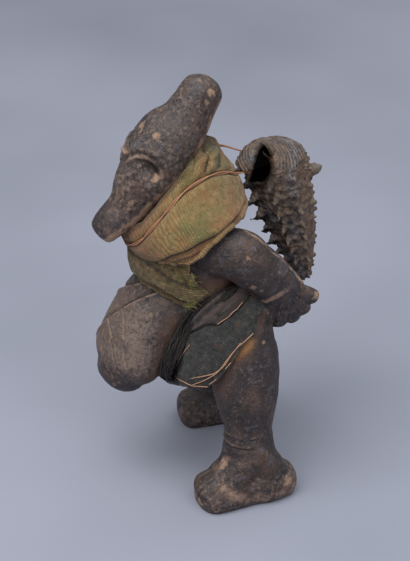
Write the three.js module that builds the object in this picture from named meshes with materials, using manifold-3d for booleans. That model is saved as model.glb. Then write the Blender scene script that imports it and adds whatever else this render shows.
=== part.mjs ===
// A small fired-clay figure with an animal's head, standing on two short legs. It wears a rolled
// neck cloth, a chest band, a twisted fibre belt and a loincloth tied with straw, and a sea shell
// hangs on its back from a thin cord. Millimetres, +Z up. The figure faces -Y and its left is +X.
import * as THREE from 'three';
import { mergeVertices } from 'three/addons/utils/BufferGeometryUtils.js';
import loadManifold from 'manifold-3d';

const manifold = await loadManifold();
manifold.setup();

// General sizes
const GAP = 0.3; // left between pieces that touch
const CENTRE = [1.8, -11.8]; // middle of the figure's box, measured from the point between the feet
const ACROSS = new THREE.Vector3(1, 0, 0);
const UP = new THREE.Vector3(0, 0, 1);

// Clay body. Each row is one section: centre x, y, z, half-width across, half-depth.
const TORSO = [
  [0, -16, 36, 12, 9], // crotch
  [0, -11.5, 45, 19, 15], // hips
  [0, -12, 59, 20.5, 16.5], // waist
  [0, -17, 73, 19.5, 16.5], // ribs
  [0, -20, 86, 19, 16.5], // chest
  [0, -21, 97, 14.5, 13.5], // shoulders
  [0, -22, 108, 10.5, 10.5], // neck
  [0, -25, 119, 8.5, 8.5], // nape, inside the head
];
const BELLY = [
  [0, -21, 75.5, 13.5, 9.3],
  [0, -27.3, 70, 14.8, 11],
  [0, -34.2, 61.8, 16, 11.6],
  [0, -38.8, 53, 16.4, 12.2],
  [0, -41.8, 46, 15.6, 11.8],
  [0, -43.8, 41.6, 11.4, 9.0],
];
const HEAD = [
  [0, -50.0, 95.8, 6.8, 4.0], // blunt end of the snout
  [0, -46.2, 99.0, 7.3, 5.2],
  [0, -41.2, 103.6, 7.0, 6.6],
  [0, -37.1, 109.6, 8.6, 8.6], // cheeks
  [0, -33.4, 115.0, 10.6, 9.8], // brow
  [0, -28.6, 123.2, 11.2, 10.8], // forehead dome
  [0, -24.3, 127.4, 10.4, 10.8],
  [0, -20.7, 131.2, 8.6, 8.8], // saddle behind the dome
  [0, -17.6, 136.0, 7.4, 7.6],
  [0, -14.9, 140.4, 7.2, 7.2], // crest
];
const NEAR_ARM = [
  [11, -19.5, 91, 8, 8.4], // shoulder
  [17, -14.5, 90.8, 8.2, 8.4],
  [20, -8.5, 89.6, 8.4, 8.8],
  [20.5, -3.2, 86.2, 8.2, 8.5],
  [20.5, 2.8, 82, 7.6, 8.0], // elbow
  [20.3, 6.6, 77, 6.4, 7.2],
  [20, 8.8, 72, 5.4, 6.8], // wrist
];
const FAR_ARM = [
  [-11, -19.5, 91, 8, 8.4],
  [-17.5, -15, 90.5, 8.3, 8.6],
  [-20.5, -11, 86, 7.8, 8.0],
  [-21.5, -8, 79, 7.0, 7.2],
  [-21, -5.5, 73, 6.0, 6.2],
  [-20.5, -3.5, 68, 5.2, 5.6],
];
const HANDS = [
  { wrist: [20, 6.6, 71.8], reach: 13, first: -16, spread: 84 },
  { wrist: [-20.5, -3.9, 68.5], reach: 12, first: -38, spread: 76 },
];
const FINGERS = 5;
const FINGER = { thick: 3.0, half: 2.15 };
const PALM = { thick: 4.1, radius: 8.6 };

const LEG_SECTIONS = [
  [70, 7.5, 8.5], // height, half-width, half-depth
  [62, 9.4, 9.6],
  [53, 10.2, 11.0],
  [45, 10.4, 11.3],
  [38.5, 10.3, 10.9],
  [32, 9.0, 9.6],
  [26, 7.9, 8.3], // ankle
  [20.5, 8.4, 9.0],
  [14, 8.6, 9.6],
  [8, 7.4, 8.6],
];
const LEG_SPREAD = 0.45; // under 1, the thigh spreads out early below the hip
const LEGS = [
  { hip: [13, -7.5], ankle: [27, -7.4], turn: -2, aside: 2.2 }, // the foot's turn, and how far beside the ankle
  { hip: [-13, -6], ankle: [-22, 4.2], turn: -12, aside: 0 },
];
const FOOT = [
  [12, 4.2, 7.2, 6.4], // distance behind the ankle, height, half-width, half-depth
  [5.5, 4.4, 9.0, 8.0],
  [-3, 4.8, 9.2, 9.2],
  [-10, 3.6, 9.4, 7.2],
  [-15.5, 2.4, 9.4, 5.0],
];
const FOOT_SQUARE = 2.6; // a foot's section is squarer than an oval, for which this is 2
const TOES = { count: 5, half: 2.1, reach: 3.2, drop: 1.9 };
const ANKLE_RINGS = { heights: [25.2, 22.2], half: [8.15, 8.6], behind: 0.05, cut: 0.6 };

// Carving
const EYE = {
  brow: [[1.6, -40.0, 122.6], [5.4, -38.0, 124.2], [8.2, -35.6, 124.0], [9.9, -33.2, 121.6], [10.4, -32.0, 117.2]],
  bead: 1.2,
  pit: 2.8,
  pitAt: [9.0, -36.6, 119.4],
};
const BELLY_BANDS = {
  lines: [[75, 0.6], [66, 1.15]], // height in the middle, and rise for each millimetre towards +X
  from: -12,
  to: 10,
  steps: 5,
  cut: 0.75,
};

// Cloth, belt, cord, straw and shell
const CLOTH = 1.5; // thickness of a wrapped cloth, folds included
const NECK_WRAP = [
  [0, -21.2, 85, 20.0, 18.0],
  [0, -21.6, 91.5, 24.4, 20.4],
  [0, -21.3, 97, 25.2, 20.9],
  [0, -20.4, 103, 23.6, 19.7],
  [0, -19.6, 108.5, 19.8, 17.0],
  [0, -19.2, 114, 15.8, 14.0],
  [0, -19.6, 121, 12.6, 10.4],
];
const WRAP_TOP = [[-60, 92], [-42, 96.5], [-35, 107.5], [-28, 115], [-22, 120], [-6, 123.5], [60, 123.5]]; // y, z
const WRAP_HEM = [[-60, 86], [-38, 87], [-29, 88.2], [-25.6, 91.5], [-20.5, 95.5], [-14.8, 99.8], [-8, 101.6], [60, 103]];
const BAND = { height: 82.6, fall: 0.34, half: 5.2, end: -21.5 };
const BELT = {
  path: [[-31, 28], [-27.5, 44], [-25.5, 57], [-20, 70], [-8, 75], [10, 76]], // y, z seen from the side
  half: 3.1,
  thick: 3.6,
};
const LOIN = {
  border: [[-38, 37], [-32.2, 41], [-25, 42.2], [-18.3, 42.8], [-12.6, 48.6], [-6.4, 55.2], [-0.2, 61.7]],
  flap: 11.5, // half-width between the legs
};
const HIP_SIDE = 20; // the leg openings are laid out this far from the middle
const HIP_LEAN = [0.37, 0.55]; // forwards and up for each millimetre further out
const STRAW = { half: 0.8, thick: 1.4, top: 66, behind: -2 };
const CORD = {
  radius: 0.6,
  line: [ // angle from the front, and height
    [0, 89.8],
    [0.3, 93.0],
    [0.52, 97.6],
    [0.73, 105],
    [0.88, 109.2],
    [1.1, 113.1],
    [1.5, 116.2],
    [1.9, 117],
    [2.4, 115.4],
    [2.75, 112.6],
  ],
  knot: { near: [1, 0.2, 109.4], far: [-1.2, 0.2, 109.8] },
};
const SHELL = {
  base: [-3.5, 11.5, 115.5],
  apex: [-3.5, 26.0, 61.5],
  radius: 11,
  dome: 3, // how far the closed end bulges
  whorls: 9,
  shrink: 0.93, // each whorl's height against the one before
  rows: 3,
  keel: [0.93, 1, 1.05],
  spines: 9,
  spine: 1.6,
  mouth: 0.55,
  start: 0.4,
  lip: [ // the flap that stands out over the mouth
    [-2.5, 12, 115, 2.2, 3.5],
    [-0.5, 8.5, 117.5, 1.4, 4],
    [1, 3.5, 116, 0.9, 4.5],
    [2, -0.5, 113.5, 0.7, 3.4],
  ],
  lipAcross: [0.5, -0.2, 0.8],
  horn: [[-2.5, 21, 106, 2.2, 2.2], [-1.5, 25.5, 106, 1.6, 1.6], [-1, 29.2, 106.2, 0.5, 0.5]], // the one long spine
  mouthAt: [2.5, 5, 109],
  mouthSize: [4.5, 5, 7],
};

const COLOURS = {
  clay: ['#3d3735', 0.5],
  neckCloth: ['#74643f', 0.95],
  chestCloth: ['#5a4b33', 0.95],
  loinCloth: ['#3a3a37', 0.95],
  belt: ['#242224', 0.8],
  cord: ['#85603f', 0.8],
  straw: ['#a07850', 0.7],
  shell: ['#57504e', 0.6],
};

// Solids

function solidOf(geometry) {
  const plain = geometry.clone();
  plain.deleteAttribute('normal');
  plain.deleteAttribute('uv');
  const merged = mergeVertices(plain, 1e-4);
  const mesh = new manifold.Mesh({
    numProp: 3,
    vertProperties: new Float32Array(merged.attributes.position.array),
    triVerts: new Uint32Array(merged.index.array),
  });
  return new manifold.Manifold(mesh);
}

function geometryOf(solid) {
  const mesh = solid.getMesh();
  const geometry = new THREE.BufferGeometry();
  geometry.setAttribute('position', new THREE.BufferAttribute(new Float32Array(mesh.vertProperties), 3));
  geometry.setIndex(new THREE.BufferAttribute(new Uint32Array(mesh.triVerts), 1));
  geometry.computeVertexNormals();
  return geometry;
}

function joined(solids) {
  return solids.reduce((all, one) => all.add(one));
}

/** A closed skin over rows of points, each row a ring, with a pole at each end. */
function skin(rings, firstPole, lastPole) {
  const sides = rings[0].length;
  const points = [...rings.flat(), firstPole, lastPole];
  const faces = [];
  for (let j = 0; j + 1 < rings.length; j += 1) {
    for (let i = 0; i < sides; i += 1) {
      const a = j * sides + i;
      const b = j * sides + ((i + 1) % sides);
      faces.push(a, b, a + sides, b, b + sides, a + sides);
    }
  }
  const last = (rings.length - 1) * sides;
  for (let i = 0; i < sides; i += 1) {
    const next = (i + 1) % sides;
    faces.push(points.length - 2, next, i);
    faces.push(points.length - 1, last + i, last + next);
  }
  return outward(points, faces);
}

/** A solid from points and faces, turned so that its faces point out. */
function outward(points, faces) {
  let volume = 0;
  for (let k = 0; k < faces.length; k += 3) {
    const [a, b, c] = [points[faces[k]], points[faces[k + 1]], points[faces[k + 2]]];
    volume += a.dot(b.clone().cross(c));
  }
  const geometry = new THREE.BufferGeometry().setFromPoints(points);
  geometry.setIndex(volume > 0 ? faces : faces.toReversed());
  return solidOf(geometry);
}

/** The section curve of a limb: where each ring's centre, axes and half-sizes are. */
function sectionAt(rows, across, t) {
  const path = new THREE.CatmullRomCurve3(rows.map((r) => new THREE.Vector3(...r.slice(0, 3))));
  const size = new THREE.CatmullRomCurve3(rows.map((r) => new THREE.Vector3(r[3], r[4], 0)));
  path.curveType = 'catmullrom';
  size.curveType = 'catmullrom';
  const along = path.getTangent(t);
  const side = across.clone().addScaledVector(along, -across.dot(along)).normalize();
  return {
    centre: path.getPoint(t),
    along,
    side,
    rise: new THREE.Vector3().crossVectors(along, side),
    half: size.getPoint(t),
  };
}

function ringAt(section, sides, scale, shift, grow, square) {
  const squared = (value) => Math.sign(value) * Math.abs(value) ** (2 / square);
  const ring = [];
  for (let i = 0; i < sides; i += 1) {
    const turn = (2 * Math.PI * i) / sides;
    ring.push(section.centre.clone()
      .addScaledVector(section.side, squared(Math.cos(turn)) * (section.half.x + grow) * scale)
      .addScaledVector(section.rise, squared(Math.sin(turn)) * (section.half.y + grow) * scale)
      .addScaledVector(section.along, shift));
  }
  return ring;
}

/** A rounded limb through rows of sections. Its round ends stand out by `ends` of the half-depth. */
function limb(rows, shape = {}) {
  const { sides = 16, steps = 2, across = ACROSS, ends = [0.7, 0.7], grow = 0, rounds = 2, square = 2 } = shape;
  const count = (rows.length - 1) * steps;
  const sections = Array.from({ length: count + 1 }, (_, j) => sectionAt(rows, across, j / count));
  const first = sections[0];
  const last = sections[count];
  const firstEnd = ends[0] * first.half.y + grow;
  const lastEnd = ends[1] * last.half.y + grow;
  const bends = rounds === 1 ? [0.62] : [0.42, 0.78];
  const rings = [
    ...bends.toReversed().map((k) => ringAt(first, sides, Math.sqrt(1 - k * k), -k * firstEnd, grow, square)),
    ...sections.map((section) => ringAt(section, sides, 1, 0, grow, square)),
    ...bends.map((k) => ringAt(last, sides, Math.sqrt(1 - k * k), k * lastEnd, grow, square)),
  ];
  const firstPole = first.centre.clone().addScaledVector(first.along, -firstEnd);
  const lastPole = last.centre.clone().addScaledVector(last.along, lastEnd);
  return skin(rings, firstPole, lastPole);
}

/** A thin round rod through points, used for cut lines, beads and cord. */
function rod(points, radius, { sides = 3, steps = 1 } = {}) {
  const rows = points.map((p) => [...p, radius, radius]);
  const length = new THREE.Vector3(...points.at(-1)).sub(new THREE.Vector3(...points[0]));
  const across = Math.abs(length.clone().normalize().x) > 0.8 ? UP : ACROSS;
  return limb(rows, { sides, steps, across, rounds: 1 });
}

function ball(at, radii, sides = 12) {
  const geometry = new THREE.SphereGeometry(1, sides, sides / 2);
  geometry.scale(...radii);
  geometry.translate(...at);
  return solidOf(geometry);
}

function block(low, high) {
  const geometry = new THREE.BoxGeometry(high[0] - low[0], high[1] - low[1], high[2] - low[2]);
  geometry.translate((high[0] + low[0]) / 2, (high[1] + low[1]) / 2, (high[2] + low[2]) / 2);
  return solidOf(geometry);
}

/** A side-view outline of y, z points, carried across from one x to the other. */
function slabGeometry(outline, from, to) {
  const shape = new THREE.Shape(outline.map(([y, z]) => new THREE.Vector2(y, z)));
  const geometry = new THREE.ExtrudeGeometry(shape, { depth: Math.abs(to - from), bevelEnabled: false });
  geometry.translate(0, 0, Math.min(from, to));
  return geometry.applyMatrix4(new THREE.Matrix4().makeBasis(new THREE.Vector3(0, 1, 0), UP, ACROSS));
}

function sideSlab(outline) {
  return solidOf(slabGeometry(outline, -60, 60));
}

/** A slab that leans out over both hips alike: the outline is the one at HIP_SIDE from the middle. */
function hipSlab(outline) {
  const lean = (side) => new THREE.Matrix4().set(
    1, 0, 0, 0,
    -HIP_LEAN[0] * side, 1, 0, HIP_LEAN[0] * HIP_SIDE,
    HIP_LEAN[1] * side, 0, 1, -HIP_LEAN[1] * HIP_SIDE,
    0, 0, 0, 1,
  );
  const halves = [1, -1].map((side) => {
    const geometry = slabGeometry(outline, 0, side * 60);
    return solidOf(geometry.applyMatrix4(lean(side)));
  });
  return joined(halves);
}

/** The outline of a strip of the given half-width along a smooth side-view line. */
function stripOutline(line, half) {
  const curve = new THREE.SplineCurve(line.map(([y, z]) => new THREE.Vector2(y, z)));
  const steps = line.length - 1;
  const sides = [[], []];
  for (let j = 0; j <= steps; j += 1) {
    const p = curve.getPoint(j / steps);
    const along = curve.getTangent(j / steps);
    sides[0].push([p.x - along.y * half, p.y + along.x * half]);
    sides[1].unshift([p.x + along.y * half, p.y - along.x * half]);
  }
  return sides.flat();
}

function turned(point, centre, degrees) {
  const angle = THREE.MathUtils.degToRad(degrees);
  const [x, y] = [point[0] - centre[0], point[1] - centre[1]];
  return [
    centre[0] + x * Math.cos(angle) - y * Math.sin(angle),
    centre[1] + x * Math.sin(angle) + y * Math.cos(angle),
    point[2],
  ];
}

// Clay body

function torso(grow = 0) {
  return limb(TORSO, { sides: 14, steps: 1, grow });
}

function belly(grow = 0) {
  return limb(BELLY, { sides: 14, steps: 1, ends: [0.5, 0.8], grow });
}

function leg({ hip, ankle }, grow = 0) {
  const [top, low] = [LEG_SECTIONS[0][0], 20];
  const rows = LEG_SECTIONS.map(([z, w, d]) => {
    const k = THREE.MathUtils.clamp((top - z) / (top - low), 0, 1) ** LEG_SPREAD;
    return [hip[0] + (ankle[0] - hip[0]) * k, hip[1] + (ankle[1] - hip[1]) * k, z, w, d];
  });
  return limb(rows, { sides: 10, steps: 1, ends: [0.7, 0.2], grow });
}

/** A place on the foot, from how far it is beside the foot's middle and behind the ankle. */
function footPoint({ ankle, turn, aside }, x, y, z) {
  return turned([ankle[0] + aside + x, ankle[1] + y, z], ankle, turn);
}

function foot(legOf) {
  const front = FOOT.at(-1);
  const rows = FOOT.map(([back, z, w, d]) => [...footPoint(legOf, 0, back, z), w, d]);
  const parts = [limb(rows, { sides: 10, steps: 1, ends: [0.75, 0.7], square: FOOT_SQUARE })];
  const cuts = [];
  for (let k = 0; k < TOES.count; k += 1) {
    const across = (2 * k) / (TOES.count - 1) - 1;
    const x = across * (front[2] - TOES.half + 0.5);
    const y = front[0] - TOES.reach * (1 - 0.35 * across * across);
    parts.push(limb([
      [...footPoint(legOf, x, y + 5, TOES.drop + 1.2), TOES.half, 2.6],
      [...footPoint(legOf, x * 1.03, y, TOES.drop), TOES.half, 2.0],
    ], { sides: 5, steps: 1, rounds: 1 }));
    if (k > 0) {
      const gapX = x - (front[2] - TOES.half + 0.5) / (TOES.count - 1);
      cuts.push(rod([
        footPoint(legOf, gapX * 0.75, front[0] + 6.5, 9.7),
        footPoint(legOf, gapX * 1.05, front[0] - 5.6, 2.4),
      ], 0.62));
    }
  }
  return joined(parts).subtract(joined(cuts));
}

function ankleRing({ ankle }, height) {
  const { half, behind, cut } = ANKLE_RINGS;
  const share = 2 * cut / (half[0] + half[1]);
  const ring = new THREE.TorusGeometry(1, share, 3, 10);
  ring.scale(half[0], half[1], cut / share);
  ring.translate(ankle[0], ankle[1] + behind, height);
  return solidOf(ring);
}

function hand({ wrist, reach, first, spread }, grow = 0) {
  const middle = THREE.MathUtils.degToRad(first - spread / 2);
  const palm = [
    wrist[0],
    wrist[1] + Math.cos(middle) * reach * 0.36,
    wrist[2] + Math.sin(middle) * reach * 0.36,
  ];
  const parts = [ball(palm, [PALM.thick + grow, PALM.radius + grow, PALM.radius + grow], 8)];
  for (let k = 0; k < FINGERS; k += 1) {
    const angle = THREE.MathUtils.degToRad(first - (spread * k) / (FINGERS - 1));
    const length = reach * (1 - 0.06 * Math.abs(k - 1.5));
    const point = (share) => [
      wrist[0],
      wrist[1] + Math.cos(angle) * length * share,
      wrist[2] + Math.sin(angle) * length * share,
    ];
    parts.push(limb([
      [...point(0.25), FINGER.thick, FINGER.half * 0.8],
      [...point(0.7), FINGER.thick, FINGER.half],
      [...point(1), FINGER.thick * 0.8, FINGER.half],
    ], { sides: 5, steps: 1, rounds: 1, grow }));
  }
  return joined(parts);
}

/** The clay body without its fine carving, made larger by `grow` where other pieces clear it. */
function bodyForm(grow) {
  return joined([
    torso(grow),
    belly(grow),
    limb(HEAD, { sides: 14, steps: 1, ends: [0.45, 0.8], grow }),
    limb(NEAR_ARM, { sides: 11, steps: 1, ends: [0.5, 0.5], grow }),
    limb(FAR_ARM, { sides: 9, steps: 1, ends: [0.5, 0.5], grow }),
    ...HANDS.map((one) => hand(one, grow)),
    ...LEGS.map((one) => leg(one, grow)),
  ]);
}

/** An eye: a pit under a raised brow that runs from the snout's bridge round behind the eye. */
function eye(side) {
  const mirrored = ([x, y, z]) => [x * side, y, z];
  return {
    brow: rod(EYE.brow.map(mirrored), EYE.bead, { sides: 5 }),
    pit: ball(mirrored(EYE.pitAt), [EYE.pit, EYE.pit, EYE.pit], 6),
  };
}

/** One cut line slanting over the belly's front. */
function bellyBand([level, rise], form) {
  const points = [];
  for (let k = 0; k <= BELLY_BANDS.steps; k += 1) {
    const x = THREE.MathUtils.lerp(BELLY_BANDS.from, BELLY_BANDS.to, k / BELLY_BANDS.steps);
    const from = new THREE.Vector3(x, -100, level + rise * x);
    const hit = new THREE.Raycaster(from, new THREE.Vector3(0, 1, 0)).intersectObject(form)[0];
    points.push(hit.point.toArray());
  }
  return rod(points, BELLY_BANDS.cut);
}

function clayBody() {
  const eyes = [eye(1), eye(-1)];
  const front = new THREE.Mesh(geometryOf(torso().add(belly())));
  const cuts = [
    block([-80, -80, -30], [80, 80, 0]),
    ...eyes.map((one) => one.pit),
    ...LEGS.flatMap((one) => ANKLE_RINGS.heights.map((height) => ankleRing(one, height))),
    ...BELLY_BANDS.lines.map((line) => bellyBand(line, front)),
  ];
  const form = joined([bodyForm(0), ...LEGS.map(foot), ...eyes.map((one) => one.brow)]);
  return form.subtract(joined(cuts));
}

// Shell: a turret of whorls, each with a row of spines, narrowing from the open end to the tip.

/** The half-width of the turret at a share of its length, from the open end to the tip. */
function turretRadius(share) {
  return SHELL.radius * (1 - share ** 1.9) ** 0.8 + 0.25;
}

function shellFrame() {
  const base = new THREE.Vector3(...SHELL.base);
  const along = new THREE.Vector3(...SHELL.apex).sub(base);
  const length = along.length();
  along.normalize();
  const side = new THREE.Vector3().crossVectors(along, ACROSS).normalize();
  return { base, along, length, side, rise: new THREE.Vector3().crossVectors(along, side) };
}

/** A point on the turret, from its place along the axis, its turn about it and its radius. */
function shellPoint({ base, along, length, side, rise }, share, angle, radius) {
  return base.clone()
    .addScaledVector(along, share * length)
    .addScaledVector(side, Math.cos(angle) * radius)
    .addScaledVector(rise, Math.sin(angle) * radius);
}

function whorls(grow) {
  const frame = shellFrame();
  const { rows: perTurn, whorls: turns, shrink } = SHELL;
  const sides = 2 * SHELL.spines;
  const rows = turns * perTurn;
  const points = [];
  for (let row = 0; row <= rows; row += 1) {
    for (let i = 0; i < sides; i += 1) {
      const turn = row / perTurn + i / sides;
      const share = Math.min(1, (1 - shrink ** turn) / (1 - shrink ** (turns + 1)));
      const opening = Math.min(1, SHELL.mouth + (1 - SHELL.mouth) * turn * 1.4);
      const spine = row % perTurn === 2 && i % 2 === 0 ? SHELL.spine * (1 - 0.6 * share) : 0;
      const radius = turretRadius(share) * opening * SHELL.keel[row % perTurn] + spine + grow;
      points.push(shellPoint(frame, share, SHELL.start - (2 * Math.PI * i) / sides, radius));
    }
  }
  const at = (row, i) => (i === sides ? (row + perTurn) * sides : row * sides + i);
  const faces = [];
  for (let row = 0; row < rows; row += 1) {
    const last = row + perTurn < rows ? sides : sides - 1;
    for (let i = 0; i < last; i += 1) {
      faces.push(at(row, i), at(row, i + 1), at(row + 1, i));
      faces.push(at(row, i + 1), at(row + 1, i + 1), at(row + 1, i));
    }
  }
  const first = Array.from({ length: sides }, (_, i) => at(0, i));
  const end = Array.from({ length: sides }, (_, i) => at(rows, i));
  for (let row = perTurn; row > 0; row -= 1) {
    first.push(at(row, 0));
    end.push(at(rows - perTurn + row - 1, sides - 1));
  }
  points.push(shellPoint(frame, 0, 0, 0).addScaledVector(frame.along, -SHELL.dome - grow));
  points.push(shellPoint(frame, 1, 0, 0).addScaledVector(frame.along, 1 + grow));
  first.forEach((from, k) => faces.push(points.length - 2, first[(k + 1) % first.length], from));
  end.forEach((from, k) => faces.push(points.length - 1, from, end[(k + 1) % end.length]));
  return outward(points, faces);
}

function shell(grow = 0) {
  const lip = limb(SHELL.lip, { sides: 8, steps: 1, rounds: 1, across: new THREE.Vector3(...SHELL.lipAcross), grow });
  const horn = limb(SHELL.horn, { sides: 5, steps: 1, rounds: 1, grow });
  const turret = whorls(grow).add(lip).add(horn);
  return grow > 0 ? turret : turret.subtract(ball(SHELL.mouthAt, SHELL.mouthSize, 8));
}

// Cloth, belt and straw are cut from larger copies of the body, so that they follow it closely.

function neckWrap(grow = 0) {
  const above = sideSlab([...WRAP_TOP, [60, 200], [-60, 200]]);
  const below = sideSlab([...WRAP_HEM.toReversed(), [-60, 0], [60, 0]]);
  const roll = limb(NECK_WRAP, { sides: 18, steps: 1, ends: [0.12, 0.1], grow, rounds: 1 });
  return roll.subtract(above).subtract(below);
}

function chestBand() {
  const turn = new THREE.Matrix4().makeRotationY(Math.atan(BAND.fall));
  const slab = new THREE.BoxGeometry(120, 80, 2 * BAND.half);
  slab.applyMatrix4(turn);
  slab.translate(0, BAND.end - 40, BAND.height);
  return torso(GAP + CLOTH).add(belly(GAP + CLOTH)).intersect(solidOf(slab));
}

function belt(grow = 0) {
  const waist = torso(GAP + BELT.thick + grow);
  return waist.intersect(sideSlab(stripOutline(BELT.path, BELT.half + grow)));
}

function hips(grow) {
  return joined([torso(grow), ...LEGS.map((one) => leg(one, grow))]);
}

function loincloth() {
  const top = BELT.path.toReversed();
  const panel = hipSlab([...LOIN.border, [0, 90], [-60, 90], [-60, LOIN.border[0][1]]]);
  const flap = block([-LOIN.flap, -40, 20], [LOIN.flap, 40, 90]);
  const belowBelt = sideSlab([...top, [top.at(-1)[0], 10], [top[0][0], 10]]);
  return hips(GAP + CLOTH).intersect(panel.add(flap)).intersect(belowBelt);
}

function strawTie() {
  const under = 2 * GAP + CLOTH;
  const strip = hipSlab(stripOutline(LOIN.border, STRAW.half));
  const front = block([-60, -60, 0], [60, STRAW.behind, STRAW.top]);
  return hips(under + STRAW.thick).subtract(hips(under)).intersect(strip).intersect(front);
}

/** The neck cloth's section at a height. */
function wrapSection(height) {
  const heights = NECK_WRAP.map((row) => row[2]);
  const k = Math.max(0, heights.findLastIndex((z, i) => z <= height && i + 1 < heights.length));
  const within = (height - heights[k]) / (heights[k + 1] - heights[k]);
  return sectionAt(NECK_WRAP, ACROSS, (k + within) / (heights.length - 1));
}

/** The cord: round the rolled neck cloth, low in front and high behind, then out to the shell. */
function cordPath() {
  const points = [];
  const near = CORD.line.map(([angle, height]) => new THREE.Vector2(angle, height));
  const far = near.slice(1).toReversed().map((p) => new THREE.Vector2(-p.x, p.y));
  const line = new THREE.SplineCurve([...far, ...near]);
  const steps = 20;
  for (let k = 0; k <= steps; k += 1) {
    const { x: angle, y: height } = line.getPoint(k / steps);
    const section = wrapSection(height);
    const lift = 4 * GAP + CORD.radius;
    points.push(section.centre.clone()
      .addScaledVector(ACROSS, Math.sin(angle) * (section.half.x + lift))
      .addScaledVector(new THREE.Vector3(0, -1, 0), Math.cos(angle) * (section.half.y + lift))
      .toArray());
  }
  return [CORD.knot.near, ...points, CORD.knot.far];
}

function cord() {
  return rod(cordPath(), CORD.radius, { sides: 5 });
}

// Figure

const body = clayBody();
const clearance = bodyForm(GAP);
const wrapClearance = neckWrap(GAP);
const pieces = {
  terracotta_figure: [body, COLOURS.clay],
  neck_cloth: [neckWrap().subtract(clearance), COLOURS.neckCloth],
  chest_band: [chestBand().subtract(clearance).subtract(wrapClearance).subtract(belt(GAP)), COLOURS.chestCloth],
  fibre_belt: [belt().subtract(clearance), COLOURS.belt],
  loincloth: [loincloth().subtract(clearance).subtract(belt(GAP)), COLOURS.loinCloth],
  straw_tie: [strawTie().subtract(clearance), COLOURS.straw],
  shell: [shell(), COLOURS.shell],
  hanging_cord: [cord(), COLOURS.cord],
};

const figure = new THREE.Group();
figure.position.set(-CENTRE[0], -CENTRE[1], 0);
for (const [name, [solid, [color, roughness]]] of Object.entries(pieces)) {
  const material = new THREE.MeshStandardMaterial({ color, roughness, metalness: 0 });
  const mesh = new THREE.Mesh(geometryOf(solid), material);
  mesh.name = name;
  figure.add(mesh);
}

export default figure;
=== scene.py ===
"""A small fired-clay figure with an animal's head, dressed in cloth, fibre and straw, with a sea
shell hung on its back. Sizes are in millimetres from the ground between the feet, as in the part's
source; the figure faces -Y and its left side is +X."""

import math

import bmesh
import bpy
import numpy as np
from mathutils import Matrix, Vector, noise
from mathutils.bvhtree import BVHTree


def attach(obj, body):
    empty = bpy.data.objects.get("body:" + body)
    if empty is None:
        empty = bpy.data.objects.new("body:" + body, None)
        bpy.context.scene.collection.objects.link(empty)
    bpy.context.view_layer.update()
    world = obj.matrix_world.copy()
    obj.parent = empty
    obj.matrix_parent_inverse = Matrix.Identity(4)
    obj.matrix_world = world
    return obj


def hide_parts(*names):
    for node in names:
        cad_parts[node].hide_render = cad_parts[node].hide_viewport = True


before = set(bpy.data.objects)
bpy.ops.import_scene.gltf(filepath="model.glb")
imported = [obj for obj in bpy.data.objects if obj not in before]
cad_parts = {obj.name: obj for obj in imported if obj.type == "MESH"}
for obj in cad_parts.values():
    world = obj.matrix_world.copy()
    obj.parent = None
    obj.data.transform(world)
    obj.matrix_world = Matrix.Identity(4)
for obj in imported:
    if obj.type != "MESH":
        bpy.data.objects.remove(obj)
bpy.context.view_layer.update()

MM = 0.001
CENTRE = np.array([1.8, -11.8, 0.0])  # middle of the figure's box, from the ground between the feet


# Camera and light

LOOK_AT = Vector((-0.00361, -0.00114, 0.06988))  # metres
LIT_MIDDLE = Vector((0, 0, 0.07))


def set_out(thing, middle, turn, tilt, distance):
    """Puts a camera or a light that far from a middle, so many degrees round from the figure's
    front and so many up, and turns it to face the middle."""
    turn, tilt = math.radians(turn), math.radians(tilt)
    back = Vector((math.sin(turn) * math.cos(tilt), -math.cos(turn) * math.cos(tilt), math.sin(tilt)))
    thing.location = middle + back * distance
    thing.rotation_mode = "QUATERNION"
    thing.rotation_quaternion = back.to_track_quat("Z", "Y")
    bpy.context.scene.collection.objects.link(thing)


def make_camera(turn=70, tilt=28, distance=0.6):
    """A long lens from the figure's left and a little in front, looking down on it."""
    camera = bpy.data.objects.new("camera", bpy.data.cameras.new("camera"))
    camera.data.lens = 111.66
    camera.data.sensor_width = 36
    camera.data.clip_start = 0.05
    set_out(camera, LOOK_AT, turn, tilt, distance)
    bpy.context.scene.camera = camera


def make_light(name, turn, tilt, distance, size, watts, tint=(1, 1, 1)):
    """A square soft box that faces the figure's middle."""
    box = bpy.data.objects.new(name, bpy.data.lights.new(name, "AREA"))
    box.data.size = size
    box.data.energy = watts
    box.data.color = tint
    set_out(box, LIT_MIDDLE, turn, tilt, distance)


def make_room(colour, strength):
    """The even light that comes from all round."""
    room = bpy.data.worlds.new("studio")
    room.use_nodes = True
    glow = room.node_tree.nodes["Background"].inputs
    glow["Color"].default_value = colour
    glow["Strength"].default_value = strength
    bpy.context.scene.world = room
    bpy.context.scene.view_settings.view_transform = "Standard"


make_camera()
make_light("key", 22, 54, 0.9, 0.75, 6.9, (1.0, 0.985, 0.96))
make_light("overhead", 95, 80, 0.8, 0.8, 3.5, (1.0, 0.99, 0.98))
make_light("fill", 108, 30, 1.1, 0.9, 3.4)
make_light("behind", 215, 45, 1.1, 0.8, 2.6)
make_room((0.62, 0.63, 0.67, 1), 0.37)


# Shapes from rows of sections

def unit(vectors):
    """The vectors at length 1."""
    return vectors / np.maximum(np.linalg.norm(vectors, axis=-1, keepdims=True), 1e-9)


def smooth_rows(rows, count):
    """That many rows on a smooth curve through the given ones."""
    rows = np.asarray(rows, float)
    padded = np.vstack([2 * rows[0] - rows[1], rows, 2 * rows[-1] - rows[-2]])
    t = np.linspace(0, len(rows) - 1, count)
    i = np.minimum(t.astype(int), len(rows) - 2)
    u = (t - i)[:, None]
    a, b, c, d = (padded[i + k] for k in range(4))
    return b + 0.5 * u * (c - a + u * (2 * a - 5 * b + 4 * c - d + u * (3 * (b - c) + d - a)))


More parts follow.
